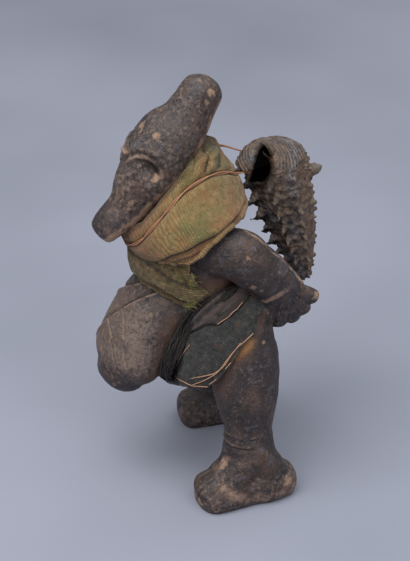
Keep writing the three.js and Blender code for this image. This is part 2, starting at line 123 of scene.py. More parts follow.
def skinned(rings, first, last):
    """A closed skin over rings of points, with a pole at each end."""
    rows, sides = rings.shape[:2]
    points = np.vstack([rings.reshape(-1, 3), first, last])
    i = np.arange(sides)
    j = (i + 1) % sides
    start = np.arange(rows - 1)[:, None] * sides
    quads = np.stack([start + i, start + j, start + sides + j, start + sides + i], -1).reshape(-1, 4)
    low = np.stack([np.full(sides, len(points) - 2), j, i], -1)
    high = np.stack([np.full(sides, len(points) - 1), (rows - 1) * sides + i, (rows - 1) * sides + j], -1)
    faces = quads.tolist() + low.tolist() + high.tolist()
    return points, faces


def limb(rows, sides=32, steps=7, across=(1, 0, 0), ends=(0.7, 0.7), grow=0.0, rounds=6, square=2.0):
    """A rounded limb through rows of x, y, z, half-width and half-depth; above 2 it is squarer."""
    rows = smooth_rows(rows, (len(rows) - 1) * steps + 1)
    centres, halves = rows[:, :3], rows[:, 3:5] + grow
    along = unit(np.gradient(centres, axis=0))
    across = np.array(across, float)
    side = unit(across - (along @ across)[:, None] * along)
    rise = np.cross(along, side)
    turn = np.linspace(0, 2 * math.pi, sides, endpoint=False)
    wide, deep = (np.sign(v) * np.abs(v) ** (2 / square) for v in (np.cos(turn), np.sin(turn)))

    def ring(k, scale, shift):
        return (centres[k] + along[k] * shift
                + wide[:, None] * side[k] * halves[k, 0] * scale
                + deep[:, None] * rise[k] * halves[k, 1] * scale)

    bends = np.sin(np.linspace(0, math.pi / 2, rounds + 1))[1:-1]
    reach = [ends[0] * halves[0, 1], ends[1] * halves[-1, 1]]
    rings = [ring(0, math.sqrt(1 - k * k), -k * reach[0]) for k in bends[::-1]]
    rings += [ring(k, 1, 0) for k in range(len(rows))]
    rings += [ring(-1, math.sqrt(1 - k * k), k * reach[1]) for k in bends]
    return skinned(np.array(rings), centres[0] - along[0] * reach[0], centres[-1] + along[-1] * reach[1])


def ball(at, radii, sides=32):
    """An egg-shaped lump."""
    turn = np.linspace(0, 2 * math.pi, sides, endpoint=False)
    tilt = np.linspace(-math.pi / 2, math.pi / 2, sides // 2 + 1)[1:-1, None]
    rings = np.stack([np.cos(tilt) * np.cos(turn), np.cos(tilt) * np.sin(turn),
                      np.sin(tilt) + 0 * turn], -1) * radii + at
    pole = np.array([0, 0, radii[2]])
    return skinned(rings, at - pole, at + pole)


def piece_of(name, points, faces, edges=()):
    """A new object from points in mm."""
    mesh = bpy.data.meshes.new(name)
    mesh.from_pydata(((np.asarray(points) - CENTRE) * MM).tolist(), list(edges), faces)
    mesh.update()
    piece = bpy.data.objects.new(name, mesh)
    bpy.context.scene.collection.objects.link(piece)
    return piece


def points_of(piece):
    """The piece's points in mm and their normals."""
    count = len(piece.data.vertices)
    points, normals = np.empty(count * 3), np.empty(count * 3)
    piece.data.vertices.foreach_get("co", points)
    piece.data.vertex_normals.foreach_get("vector", normals)
    return points.reshape(-1, 3) / MM + CENTRE, normals.reshape(-1, 3)


def triangles_of(piece):
    """The piece's faces as triangles of point numbers."""
    piece.data.calc_loop_triangles()
    corners = np.empty(len(piece.data.loop_triangles) * 3, int)
    piece.data.loop_triangles.foreach_get("vertices", corners)
    return corners.reshape(-1, 3)


def set_points(piece, points):
    """Moves the piece's points to these places in mm."""
    piece.data.vertices.foreach_set("co", ((points - CENTRE) * MM).ravel())
    piece.data.update()


def set_values(piece, name, values):
    """A number or a vector for each point, which the materials read by name."""
    values = np.asarray(values, float)
    kind, field = ("FLOAT", "value") if values.ndim == 1 else ("FLOAT_VECTOR", "vector")
    attribute = piece.data.attributes.new(name, kind, "POINT")
    attribute.data.foreach_set(field, values.ravel())


def baked(piece):
    """The piece with its modifiers worked into a plain mesh."""
    plain = bpy.data.meshes.new_from_object(piece.evaluated_get(bpy.context.evaluated_depsgraph_get()))
    piece.modifiers.clear()
    piece.data = plain
    plain.name = piece.name
    return piece


def fused(name, parts, voxel, smears):
    """One closed skin round all the parts, with the corners between them smeared as by a thumb."""
    points, faces, start = [], [], 0
    for part_points, part_faces in parts:
        points.append(part_points)
        faces += [[i + start for i in face] for face in part_faces]
        start += len(part_points)
    piece = piece_of(name, np.vstack(points), faces)
    skin = piece.modifiers.new("skin", "REMESH")
    skin.mode = "VOXEL"
    skin.voxel_size = voxel * MM
    smear = piece.modifiers.new("smear", "SMOOTH")
    smear.factor = 0.5
    smear.iterations = smears
    return baked(piece)


def lightened(piece, most=196000):
    """The piece with its flattest faces merged, down to that many triangles."""
    fewer = piece.modifiers.new("fewer faces", "DECIMATE")
    fewer.ratio = min(1.0, most / len(triangles_of(piece)))
    return baked(piece)


def tree_of(piece):
    """A tree that finds the nearest place on a piece; it works in mm."""
    return BVHTree.FromPolygons(points_of(piece)[0].tolist(), triangles_of(piece).tolist())


# Fields over points

def distance_to(points, line):
    """How far each point is from a line of points, in mm."""
    line = np.asarray(line, float)
    best = np.full(len(points), 1e9)
    for a, b in zip(line[:-1], line[1:]):
        share = np.clip((points - a) @ (b - a) / max((b - a) @ (b - a), 1e-9), 0, 1)
        best = np.minimum(best, np.linalg.norm(points - a - share[:, None] * (b - a), axis=1))
    return best


def hill(distance, width):
    """1 at no distance, falling to nothing at about twice the width."""
    return np.exp(-(distance / width) ** 2)


def ramp(values, low, high):
    """0 below low, 1 above high, and smooth between them."""
    t = np.clip((values - low) / (high - low), 0, 1)
    return t * t * (3 - 2 * t)


def rough(points, size, octaves=2, seed=0.0):
    """Unevenness from -1 to 1 whose lumps are about size mm across."""
    shift = Vector((seed * 7.3, seed * 3.1, seed * 5.7))
    return np.array([noise.fractal(Vector(p) / size + shift, 1.0, 2.0, octaves) for p in points])


def on_skin(skin, line, count=14):
    """A smooth line through the given places, drawn onto a skin."""
    return np.array([skin.find_nearest(Vector(p))[0] for p in smooth_rows(line, count)])


# Clay body. Each row is one section: centre x, y, z, half-width across, half-depth.

TORSO = [
    [0, -16, 36, 12, 9],
    [0, -11.5, 45, 19, 15],
    [0, -12, 59, 20.5, 16.5],
    [0, -17, 73, 19.5, 16.5],
    [0, -20, 86, 19, 16.5],
    [0, -21, 97, 14.5, 13.5],
    [0, -22, 108, 10.5, 10.5],
    [0, -25, 119, 8.5, 8.5],
]
BELLY = [
    [0, -21, 75.5, 13.5, 9.3],
    [0, -27.3, 70, 14.8, 11],
    [0, -34.2, 61.8, 16, 11.6],
    [0, -38.8, 53, 16.4, 12.2],
    [0, -42.2, 46, 15.4, 11.2],
    [0, -44.4, 41.9, 11.0, 8.4],
]
HEAD = [
    [0, -50.0, 95.8, 6.8, 4.0],
    [0, -46.2, 99.0, 7.3, 5.2],
    [0, -40.8, 103.3, 7.2, 7.1],
    [0, -36.7, 109.3, 9.0, 9.2],
    [0, -33.0, 114.7, 10.8, 10.3],
    [0, -28.4, 123.0, 11.3, 11.1],
    [0, -24.3, 127.4, 10.4, 10.8],
    [0, -20.7, 131.2, 8.6, 8.8],
    [0, -17.6, 136.0, 7.4, 7.6],
    [0, -14.9, 140.4, 7.2, 7.2],
]
NEAR_ARM = [
    [11, -19.5, 91, 8, 8.4],
    [17, -14.5, 90.8, 8.2, 8.4],
    [20, -8.5, 89.2, 8.4, 8.8],
    [20.5, -4.2, 85.2, 8.2, 8.5],
    [20.5, 0.8, 80.4, 7.4, 8.0],
    [20.3, 4.4, 76, 6.2, 8.0],
    [20, 6.4, 71.6, 4.6, 7.6],
]
FAR_ARM = [
    [-11, -19.5, 91, 8, 8.4],
    [-17.5, -15, 90.5, 8.3, 8.6],
    [-20.5, -11, 86, 7.8, 8.0],
    [-21.5, -8, 79, 7.0, 7.2],
    [-21, -5.5, 73, 6.0, 6.2],
    [-20.5, -3.5, 68, 5.2, 5.6],
]
HANDS = [
    {"wrist": [20, 4.5, 78.5], "reach": 17.3, "first": -35, "spread": 67},
    {"wrist": [-20.5, -3.9, 68.5], "reach": 12.4, "first": -38, "spread": 76},
]
FINGER = [[0.25, 1.75, 3.1], [0.7, 2.5, 3.2], [1, 2.85, 2.4]]  # share of reach, half-width, thickness
LEG_TOP = 70
LEG_SECTIONS = [  # height, half-width, half-depth
    [70, 7.5, 8.5],
    [62, 9.6, 10.2],
    [53, 10.4, 11.7],
    [45, 10.5, 11.9],
    [38.5, 10.3, 11.3],
    [32, 9.0, 9.6],
    [26, 7.9, 8.3],
    [20.5, 8.4, 9.0],
    [14, 8.6, 9.6],
    [8, 7.4, 8.6],
]
LEGS = [  # how the foot is turned, and how far it stands beside the ankle
    {"hip": [13, -7.5], "ankle": [27, -7.4], "turn": -2, "aside": 2.2},
    {"hip": [-13, -6], "ankle": [-22, 4.2], "turn": -12, "aside": 0},
]
# How far behind the ankle, height, half-width, half-depth
FOOT = [
    [12, 4.6, 7.4, 6.2],
    [5.5, 5.0, 8.9, 7.6],
    [-1.5, 5.0, 8.2, 8.4],
    [-9, 4.4, 9.2, 7.8],
    [-15.2, 3.2, 9.2, 6.6],
]
INSTEP = [[2, 18, 7.6, 7.4], [-4, 12.5, 8.0, 6.6], [-10, 8, 8.2, 5.4]]
HEEL = [[1, 17, 7.4, 7.0], [5, 11.5, 7.8, 6.6], [8, 7.5, 7.4, 6.0]]
FOOT_SQUARE = 2.25
TOES = {"count": 5, "half": 2.3, "reach": 2.8, "drop": 2.1}


def torso(grow=0.0):
    """The trunk from between the legs up to the neck."""
    return limb(TORSO, sides=48, grow=grow)


def belly(grow=0.0):
    """The belly that hangs forwards from the chest."""
    return limb(BELLY, sides=48, ends=(0.5, 0.8), grow=grow)


def leg(hip, ankle, turn, aside, grow=0.0):
    """A leg that bends out from the hip and goes straight down to its ankle."""
    rows = []
    for z, width, depth in LEG_SECTIONS:
        share = min(1, max(0, (LEG_TOP - z) / 50)) ** 0.45
        rows.append([hip[0] + (ankle[0] - hip[0]) * share, hip[1] + (ankle[1] - hip[1]) * share,
                     z, width, depth])
    return limb(rows, sides=40, ends=(0.7, 0.2), grow=grow)


def foot_place(x, y, z, hip, ankle, turn, aside):
    """A place on the foot, from how far it is to the side of its middle and behind the ankle."""
    c, s = math.cos(math.radians(turn)), math.sin(math.radians(turn))
    return [ankle[0] + (aside + x) * c - y * s, ankle[1] + (aside + x) * s + y * c, z]


def foot(**leg_of):
    """The sole with its sides, the instep, the heel and the toes."""
    def down_the_middle(rows):
        return [[*foot_place(0, back, z, **leg_of), width, depth] for back, z, width, depth in rows]

    parts = [limb(down_the_middle(FOOT), ends=(0.75, 0.7), square=FOOT_SQUARE),
             limb(down_the_middle(INSTEP)), limb(down_the_middle(HEEL))]
    front = FOOT[-1]
    half, drop = TOES["half"], TOES["drop"]
    for k in range(TOES["count"]):
        across = 2 * k / (TOES["count"] - 1) - 1
        x = across * (front[2] - half + 0.5)
        y = front[0] - TOES["reach"] * (1 - 0.9 * across * across)
        parts.append(limb([
            [*foot_place(x, y + 5, drop + 1.4, **leg_of), half, 2.7],
            [*foot_place(x * 1.02, y + 2, drop + 0.9, **leg_of), half * 0.95, 2.3],
            [*foot_place(x * 1.03, y, drop, **leg_of), half * 0.95, 2.0],
        ], sides=16, steps=4))
    return parts


def hand(wrist, reach, first, spread):
    """A flat palm with five fingers spread like a fan, down from the first finger's angle."""
    def place(angle, share):
        return [wrist[0], wrist[1] + math.cos(angle) * reach * share,
                wrist[2] + math.sin(angle) * reach * share]

    middle = math.radians(first - spread / 2)
    parts = [ball(np.array(place(middle, 0.36)), np.array([4.3, 8.0, 8.0])),
             ball(np.array(place(middle, 0.62)), np.array([3.4, 0.5 * reach, 0.48 * reach]))]
    for k in range(5):
        angle = math.radians(first - spread * k / 4)
        length = 1 - 0.02 * abs(k - 2)
        rows = [[*place(angle, length * share), thick, half] for share, half, thick in FINGER]
        parts.append(limb(rows, sides=16, steps=5))
    return parts


def trunk():
    """Torso, belly, head, arms, legs and feet, without the hands."""
    return [torso(), belly(), limb(HEAD, ends=(0.45, 0.8)), limb(NEAR_ARM, ends=(0.5, 0.5)),
            limb(FAR_ARM, ends=(0.5, 0.5)), *[leg(**one) for one in LEGS],
            *[part for one in LEGS for part in foot(**one)]]


# Carving, as lines on the skin

BROW = [[-1.5, -40.6, 123.0], [1.6, -40.4, 123.4], [4.2, -38.6, 125.4], [7.6, -35.9, 126.1],
        [9.9, -33.3, 124.8], [11.0, -31.4, 121.4], [11.2, -30.8, 117.6]]
LID = [[2.2, -41.2, 119.4], [3.6, -40.3, 121.9], [5.5, -38.6, 123.4], [7.9, -36.4, 123.6],
       [9.8, -34.3, 122.2], [10.7, -32.6, 119.6], [10.6, -32.4, 117.2]]
SOCKET = [[9.2, -36.3, 120.2], [10.0, -34.6, 118.8]]
BANDS = [[75.1, 0.62], [65.3, 1.17]]  # height at the belly's middle, and rise to the left
FURROWS = [
    [[3.0, -43.2, 66.5], [6.2, -44.0, 64.5], [7.9, -44.4, 62.0], [9.0, -45.0, 59.5]],
    [[-1.3, -46.7, 61.3], [1.8, -47.2, 60.0], [4.6, -47.4, 58.0]],
    [[5.0, -48.3, 56.7], [7.6, -48.6, 53.5], [9.2, -48.6, 51.0], [10.8, -48.4, 48.0]],
    [[1.4, -50.6, 52.0], [3.6, -51.0, 49.4], [5.9, -51.1, 46.6]],
    [[-0.6, -49.0, 57.4], [0.8, -49.9, 54.6], [1.2, -50.6, 52.6]],
    [[9.8, -45.4, 56.5], [11.4, -45.6, 53.0], [12.4, -45.4, 50.4]],
]
PITS = [  # place, radius and depth
    [[2.3, -43.5, 115.1], 0.75, 0.6],
    [[4.4, -52.0, 98.0], 0.6, 0.7],
    [[-4.4, -52.0, 98.0], 0.6, 0.7],
    [[-2.5, -43.5, 115.0], 0.7, 0.5],
    [[12.3, -37.0, 60.0], 0.8, 0.5],
]
CHIPS = [  # place, radius and strength
    [[-0.2, -34.9, 131.7], 1.9, 0.7],
    [[1.4, -36.2, 130.2], 1.2, 0.6],
    [[7.1, -32.9, 130.1], 1.7, 0.8],
    [[10.3, -34.0, 117.0], 1.5, 0.9],
    [[9.8, -35.6, 116.0], 1.0, 0.8],
    [[7.1, -41.5, 108.1], 1.4, 0.6],
    [[7.0, -42.6, 106.4], 1.0, 0.6],
    [[6.3, -13.5, 142.6], 2.0, 0.75],
    [[7.2, -15.5, 139.6], 1.4, 0.6],
    [[3.0, -16.5, 146.0], 1.3, 0.5],
    [[7.9, -21.3, 118.8], 1.8, 0.5],
    [[12.0, -37.1, 67.9], 1.2, 0.5],
    [[2.8, -43.2, 115.8], 1.3, 0.7],
    [[27.6, -8.8, 92.1], 1.2, 0.7],
    [[21.6, -4.0, 96.5], 1.5, 0.8],
    [[26.8, -6.6, 80.7], 1.6, 0.75],
    [[25.4, -3.0, 79.6], 1.2, 0.7],
    [[21.9, 18.8, 70.4], 2.3, 0.85],
    [[8.1, -49.9, 40.7], 1.0, 0.6],
    [[28.8, -3.8, 60.2], 0.9, 0.8],
    [[37.8, 4.0, 8.0], 2.2, 0.8],
    [[37.0, 7.0, 5.0], 1.8, 0.75],
    [[36.5, 5.5, 2.5], 1.4, 0.7],
    [[23.5, -27.5, 3.0], 1.8, 0.9],
    [[27.5, -28.0, 3.0], 1.7, 0.85],
    [[32.0, -27.0, 2.6], 1.8, 0.8],
    [[36.5, -22.5, 2.4], 1.3, 0.7],
]
TAN_EDGES = [  # worn lines, and one painted highlight on the near arm's lower edge; their width and strength
    [[[6.8, -50, 93.6], [7.0, -45, 97.6], [7.6, -38, 103.0], [9.4, -33, 108.4], [9.6, -29.2, 112.2]],
     1.9, 1.3],
    [[[9.6, -27.4, 114], [9.6, -22, 118.2], [8.4, -16.4, 124], [7.0, -11.6, 130], [6.6, -8.6, 137]],
     1.9, 1.2],
    [[[7.5, -42, 115], [4, -45.8, 110], [3, -48.5, 104]], 1.5, 0.4],
    [[[16, -9, 98], [22, -4.2, 97.5], [23, 1, 91.5], [23, 5, 86.5], [22.5, 9, 82.5], [21.5, 16, 74.6]],
     1.1, 0.7],
    [[[24, -1.8, 72.0], [25.5, 2.5, 75.6], [25.4, 7.2, 77.6]], 1.1, 1.2],
    # painted highlight, not wear: the bright rim along the near arm's lower edge where it catches the light
    [[[14, -9, 80], [19, -4, 76], [20.5, -2.5, 72], [20, -0.5, 66]], 0.9, 1.0],
    [[[29, -16, 14], [33, -20, 9], [36, -15, 5], [37.5, -5, 3], [37.5, 3, 3]], 2.2, 0.6],
    [[[30, -15, 17], [27, -19, 11], [25, -24, 8]], 2.0, 0.3],
]
TOE_GROOVE = [[3.0, -6, 13], [3.6, -10.5, 10.4], [4.1, -15, 7.6], [4.3, -19, 4.6]]  # spread, back, height
SCRATCHES = [25.2, 22.2]  # heights round the ankle
KNOCKS = 260
WARM = [  # brown to orange lines, their width and strength
    [[[18, -20, 79], [20, -12, 78.5]], 5.5, 0.85],
    [[[28.6, -12.5, 56], [30.5, -8.4, 62]], 2.4, 1.8],
    [[[26.5, -17, 50], [29.5, -11.5, 58.5], [28, -7, 66]], 4.0, 0.8],
    [[[12, -22, 36], [22, -20, 41], [27, -17, 47]], 5.0, 0.75],
    [[[15.5, -31, 62], [16, -33, 52], [14, -37, 42]], 5.5, 0.7],
    [[[8, -20, 119], [6, -12, 128]], 5.0, 0.5],
]


class Clay:
    """The clay while it is worked: how far each point is pushed out, and how worn, cut or chipped."""

    def __init__(self, piece):
        self.points, self.normals = points_of(piece)
        self.skin = tree_of(piece)
        self.push, self.worn, self.cut, self.chip = np.zeros((4, len(self.points)))

    def mark(self, push=0.0, worn=0.0, cut=0.0):
        """Adds to how far points are pushed out and how worn and cut they are."""
        self.push += push
        self.worn += worn
        self.cut += cut

    def off(self, line, count=14):
        """How far each point is from a smooth line drawn on the clay."""
        return distance_to(self.points, on_skin(self.skin, line, count))


def carve_face(clay):
    """Brow, eyelid and hollow socket on each side."""
    for side in (1, -1):
        flip = clay.points * [side, 1, 1]
        brow, lid, socket = (distance_to(flip, line) for line in (BROW, LID, SOCKET))
        clay.mark(push=1.0 * hill(brow, 1.1) + 1.1 * hill(lid, 0.7) - 2.9 * hill(socket, 2.6),
                  worn=0.35 * hill(brow, 1.0) + 0.9 * hill(lid, 0.55),
                  cut=0.75 * hill(socket, 2.3) + 0.5 * hill(lid - 1.4, 0.5))


def carve_belly(clay):
    """Two bands drawn aslant over the belly and short strokes below them."""
    x, y, z = clay.points.T
    front = ramp(-y, 24, 29) * ramp(-np.abs(x), -14.5, -11) * ramp(-z, -92, -86)
    for level, rise in BANDS:
        off = (z - level - rise * x) / math.hypot(1, rise)
        clay.mark(push=front * (0.55 * hill(off + 1.3, 0.8) - 0.75 * hill(off, 0.7)),
                  worn=front * 0.6 * hill(off + 1.2, 0.5),
                  cut=front * 0.9 * hill(off, 0.6))
    for line in FURROWS:
        off = clay.off(line)
        clay.mark(push=0.18 * hill(off - 0.75, 0.35) - 0.42 * hill(off, 0.45),
                  worn=0.5 * hill(off - 0.6, 0.3),
                  cut=0.45 * hill(off, 0.3))


def carve_leg(clay, one):
    """Broken scratches round the ankle, and grooves between the toes."""
    x, y = clay.points[:, 0] - one["ankle"][0], clay.points[:, 1] - one["ankle"][1]
    facing = np.arctan2(np.sign(one["ankle"][0]) * x, -y)
    at_leg = ramp(-np.hypot(x, y), -12, -11) * (0.2 + 0.8 * ramp(np.cos(facing - 0.55), 0.3, 0.75))
    broken = at_leg * np.clip(0.75 + 0.8 * rough(clay.points, 5, 2, 7), 0.1, 1.3)
    for height in SCRATCHES:
        off = clay.points[:, 2] - height - 0.25 * np.sin(np.arctan2(y, x) * 2)
        clay.mark(push=broken * (0.35 * hill(off - 0.9, 0.5) - 0.6 * hill(off, 0.4)),
                  worn=broken * 0.8 * hill(off - 0.9, 0.45),
                  cut=broken * 0.8 * hill(off, 0.4))
    for gap in (-1.5, -0.5, 0.5, 1.5):
        off = clay.off([foot_place(gap * spread, back, z, **one) for spread, back, z in TOE_GROOVE])
        clay.mark(push=-0.5 * hill(off, 0.6), cut=0.6 * hill(off, 0.45))


def carve_hand(clay, one):
    """Grooves between the fingers, worn along one side."""
    x, y, z = (clay.points - one["wrist"]).T
    reach = np.hypot(y, z)
    turn = np.degrees(np.arctan2(z, y)) - one["first"]
    at_hand = ramp(-np.abs(x), -7, -5.5) * ramp(reach, 6, 9) * ramp(-reach, -22, -20)
    for k in range(4):
        off = np.radians(turn + one["spread"] * (k + 0.5) / 4) * reach
        clay.mark(push=-at_hand * 0.42 * hill(off, 0.55),
                  worn=at_hand * 0.35 * hill(off - 0.9, 0.35),
                  cut=at_hand * 0.6 * hill(off, 0.4))


def chip_and_wear(clay, ragged):
    """Pits, chips, small knocks all over, edges worn by handling, and a painted highlight along the near
    arm's lower edge.
    """
    for at, radius, depth in PITS:
        off = clay.off([at, at], 2)
        clay.mark(push=-depth * hill(off, radius), cut=hill(off, radius))
    for at, radius, strength in CHIPS:
        off = clay.off([at, at], 2) / radius + ragged
        clay.chip = np.maximum(clay.chip, strength * ramp(-off, -1.2, -0.3))
    rng = np.random.default_rng(11)
    for k in rng.integers(len(clay.points), size=KNOCKS):
        radius = rng.uniform(0.25, 0.8)
        off = np.linalg.norm(clay.points - clay.points[k], axis=1) / radius + ragged
        knock = ramp(-off, -1.2, -0.4)
        if rng.random() < 0.4:
            clay.chip = np.maximum(clay.chip, knock * rng.uniform(0.2, 0.75))
        else:
            clay.mark(push=-knock * rng.uniform(0.1, 0.25), cut=knock * 0.4)
    clay.mark(push=-0.2 * clay.chip)
    for line, width, strength in TAN_EDGES:
        clay.mark(worn=strength * hill(clay.off(line, 20) + ragged, width))


def warm_parts(points):
    """Where the clay is brown to orange: by the belt and the loincloth, and on the inner foot."""
    x, _, z = points.T
    foot_part = 0.3 * ramp(-z, -17, -9) * ramp(rough(points, 6, 2, 8), -0.15, 0.35) * ramp(x, 5, 15)
    return np.maximum.reduce([foot_part, *[strength * hill(distance_to(points, line), width)
                                           for line, width, strength in WARM]])


def pale_and_lit_parts(points):
    """Where the clay is paler, partly from rubbing and dust and partly as painted light where the light
    falls: the belly's front, the face, the crest and the feet.
    """
    _, y, z = points.T
    return np.maximum.reduce([
        1.05 * ramp(-y, 31, 45) * ramp(-z, -88, -79) * ramp(z, 40, 54),
        0.6 * ramp(z, 98, 112) * ramp(-z, -134, -120) * ramp(-y, 0, 8),
        0.3 * ramp(z, 118, 128),
        0.45 * ramp(-z, -16, -5) + 0.35 * ramp(-z, -14, -8) * ramp(y, -6, 4),
    ])


def carved(piece):
    """The marks of hand, stick and use on the clay, with what each leaves for its finish."""
    clay = Clay(piece)
    clay.mark(push=0.3 * rough(clay.points, 11, 2, 1) + 0.12 * rough(clay.points, 3.2, 2, 2)
              + 0.05 * rough(clay.points, 1.3, 2, 3))
    carve_face(clay)
    carve_belly(clay)
    for one in LEGS:
        carve_leg(clay, one)
    for one in HANDS:
        carve_hand(clay, one)
    ragged = 0.6 * rough(clay.points, 1.3, 3, 5)
    chip_and_wear(clay, ragged)
    sole = ramp(-clay.normals[:, 2], 0.6, 0.8) * ramp(-clay.points[:, 2], -1.5, -0.8)
    points = clay.points + clay.normals * (clay.push * (1 - sole))[:, None]
    points[:, 2] = np.maximum(points[:, 2], 0)
    set_points(piece, points)
    set_values(piece, "worn", np.clip(clay.worn, 0, 1))
    set_values(piece, "cut", np.clip(clay.cut, 0, 1))
    set_values(piece, "chip", np.clip(clay.chip, 0, 1))
    set_values(piece, "warm", warm_parts(points) * (1 + 0.25 * ragged))
    set_values(piece, "pale", np.clip(pale_and_lit_parts(points) * (1 + 0.3 * ragged), 0, 1))
    return piece


def make_body():
    """Trunk, limbs and head smeared into one, then the hands joined on, then the carving."""
    trunk_piece = fused("trunk", trunk(), 0.7, 9)
    skin = (points_of(trunk_piece)[0], triangles_of(trunk_piece).tolist())
    ends = [part for one in HANDS for part in hand(**one)]
    body = fused("clay_figure", [skin, *ends], 0.56, 5)
    bpy.data.objects.remove(trunk_piece)
    points, _ = points_of(body)
    points[:, 2] = np.maximum(points[:, 2], 0)
    set_points(body, points)
    return carved(body)


# Materials

def colour_of(code):
    """A linear colour from an sRGB code such as #4a4038."""
    parts = [int(code[k:k + 2], 16) / 255 for k in (1, 3, 5)]
    return (*[c / 12.92 if c <= 0.04045 else ((c + 0.055) / 1.055) ** 2.4 for c in parts], 1)


def add(tree, kind, links=None, **settings):
    """A node with its settings, and its inputs by name or number: each a value or another's output."""
    node = tree.nodes.new(kind)
    for name, value in settings.items():
        setattr(node, name, value)
    for key, value in (links or {}).items():
        if isinstance(value, bpy.types.Node):
            value = value.outputs[0]
        if isinstance(value, bpy.types.NodeSocket):
            tree.links.new(value, node.inputs[key])
        else:
            node.inputs[key].default_value = value
    return node


def start_material(name, **fixed):
    """An empty material and its shader, with the values that are the same all over it."""
    material = bpy.data.materials.new(name)
    material.use_nodes = True
    tree = material.node_tree
    tree.nodes.clear()
    shader = add(tree, "ShaderNodeBsdfPrincipled", {k.replace("_", " "): v for k, v in fixed.items()})
    add(tree, "ShaderNodeOutputMaterial", {"Surface": shader})
    return material, tree, shader


def painted(tree, colour, coats):
    """Coats of colour one over the other, each where its mask is between low and high."""
    for mask, low, high, code in coats:
        share = add(tree, "ShaderNodeMapRange", {0: mask, 1: low, 2: high}, clamp=True)
        mix = add(tree, "ShaderNodeMix", {0: share, 6: colour, 7: colour_of(code)}, data_type="RGBA")
        colour = mix.outputs[2]
    return colour


def grain(tree, where, size, detail=3.0):
    """Cloudy noise whose lumps are about size mm across on Object coordinates."""
    noise_node = add(tree, "ShaderNodeTexNoise", {
        "Vector": where, "Scale": 1 / (size * MM), "Detail": detail, "Roughness": 0.55})
    return noise_node.outputs[0]


def marks_of(tree, *names):
    """The values that the piece's points carry, by name."""
    return {name: add(tree, "ShaderNodeAttribute", attribute_name=name).outputs["Fac"] for name in names}


def finished(tree, shader, colour, height, depth, strength=0.8, **more):
    """Joins a colour, a relief that many mm deep and any further values to the shader."""
    relief = add(tree, "ShaderNodeBump", {"Strength": strength, "Distance": depth * MM, "Height": height})
    tree.links.new(colour, shader.inputs["Base Color"])
    tree.links.new(relief.outputs[0], shader.inputs["Normal"])
    for name, node in more.items():
        tree.links.new(node.outputs[0], shader.inputs[name.replace("_", " ")])


def fired_terracotta():
    """Low-fired terracotta, burnished by hand and blackened by smoke and oil: a dull, uneven
    sheen on grey, brown and black clouds, tan where handling has worn it and paler in fresh chips,
    with painted light over it: paler on the belly's front, the face, the crest and the feet, a
    painted highlight along the near arm's lower edge, and bluish grey clouds that are partly
    painted sheen."""
    material, tree, shader = start_material("terracotta_burnished_smoked", IOR=1.5)
    where = add(tree, "ShaderNodeTexCoord").outputs["Object"]
    broad, blotch, clouds, mottle, speck, dust = (
        grain(tree, where, size, detail) for size, detail in
        ((16, 3), (8.0, 5), (3.6, 5), (1.4, 5), (0.6, 4), (0.35, 3)))
    marks = marks_of(tree, "worn", "cut", "chip", "warm", "pale")
    patchy = add(tree, "ShaderNodeMapRange", {0: clouds, 1: 0.42, 2: 0.58, 3: 0.3, 4: 1.15})
    patchy_wear_and_rim_light = add(tree, "ShaderNodeMath", {0: marks["worn"], 1: patchy}, operation="MULTIPLY")
    lively = add(tree, "ShaderNodeMapRange", {0: marks["pale"], 1: 0.0, 2: 0.5, 3: 0.45, 4: 1.0})
    flaked = add(tree, "ShaderNodeMath", {0: mottle, 1: 0.5}, operation="SUBTRACT")
    flaked = add(tree, "ShaderNodeMath", {0: flaked, 1: lively}, operation="MULTIPLY")
    colour = painted(tree, colour_of("#2c2527"), [
        # paler clay on the belly's front, the face, the crest and the feet: partly rubbed and dusty, partly
        # painted light
        (marks["pale"], 0.0, 1.0, "#6f6058"),
        (broad, 0.44, 0.6, "#3d312b"),
        (blotch, 0.52, 0.66, "#513d34"),
        (blotch, 0.45, 0.36, "#292324"),
        (clouds, 0.54, 0.68, "#2e2627"),
        # bluish grey clouds: partly the clay's own grey tone, partly painted sheen
        (clouds, 0.45, 0.33, "#4b464b"),
        (flaked, 0.035, 0.12, "#6e5e57"),
        (flaked, -0.035, -0.13, "#221c1d"),
        # stronger paleness where the pale mark is highest: rubbing and painted light together
        (marks["pale"], 0.5, 1.5, "#76645a"),
        (speck, 0.62, 0.76, "#83736e"),
        (speck, 0.41, 0.29, "#1c1617"),
        (marks["warm"], 0.1, 1.0, "#573d2d"),
        (marks["warm"], 0.9, 1.6, "#8b6137"),
        # tan where worn, and the painted highlight along the near arm's lower edge
        (patchy_wear_and_rim_light, 0.15, 0.8, "#947867"),
        (marks["cut"], 0.2, 1.0, "#1a1514"),
        (marks["chip"], 0.2, 0.9, "#9c806b"),
        (dust, 0.66, 0.8, "#a08f87"),
    ])
    gloss = add(tree, "ShaderNodeMapRange", {0: mottle, 1: 0.3, 2: 0.7, 3: 0.42, 4: 0.72})
    dull = add(tree, "ShaderNodeMath", {0: marks["chip"], 1: 0.3, 2: gloss}, operation="MULTIPLY_ADD")
    height = add(tree, "ShaderNodeMath", {0: speck, 1: 0.7, 2: mottle}, operation="MULTIPLY_ADD")
    finished(tree, shader, colour, height, 0.5, Roughness=dull)
    return material


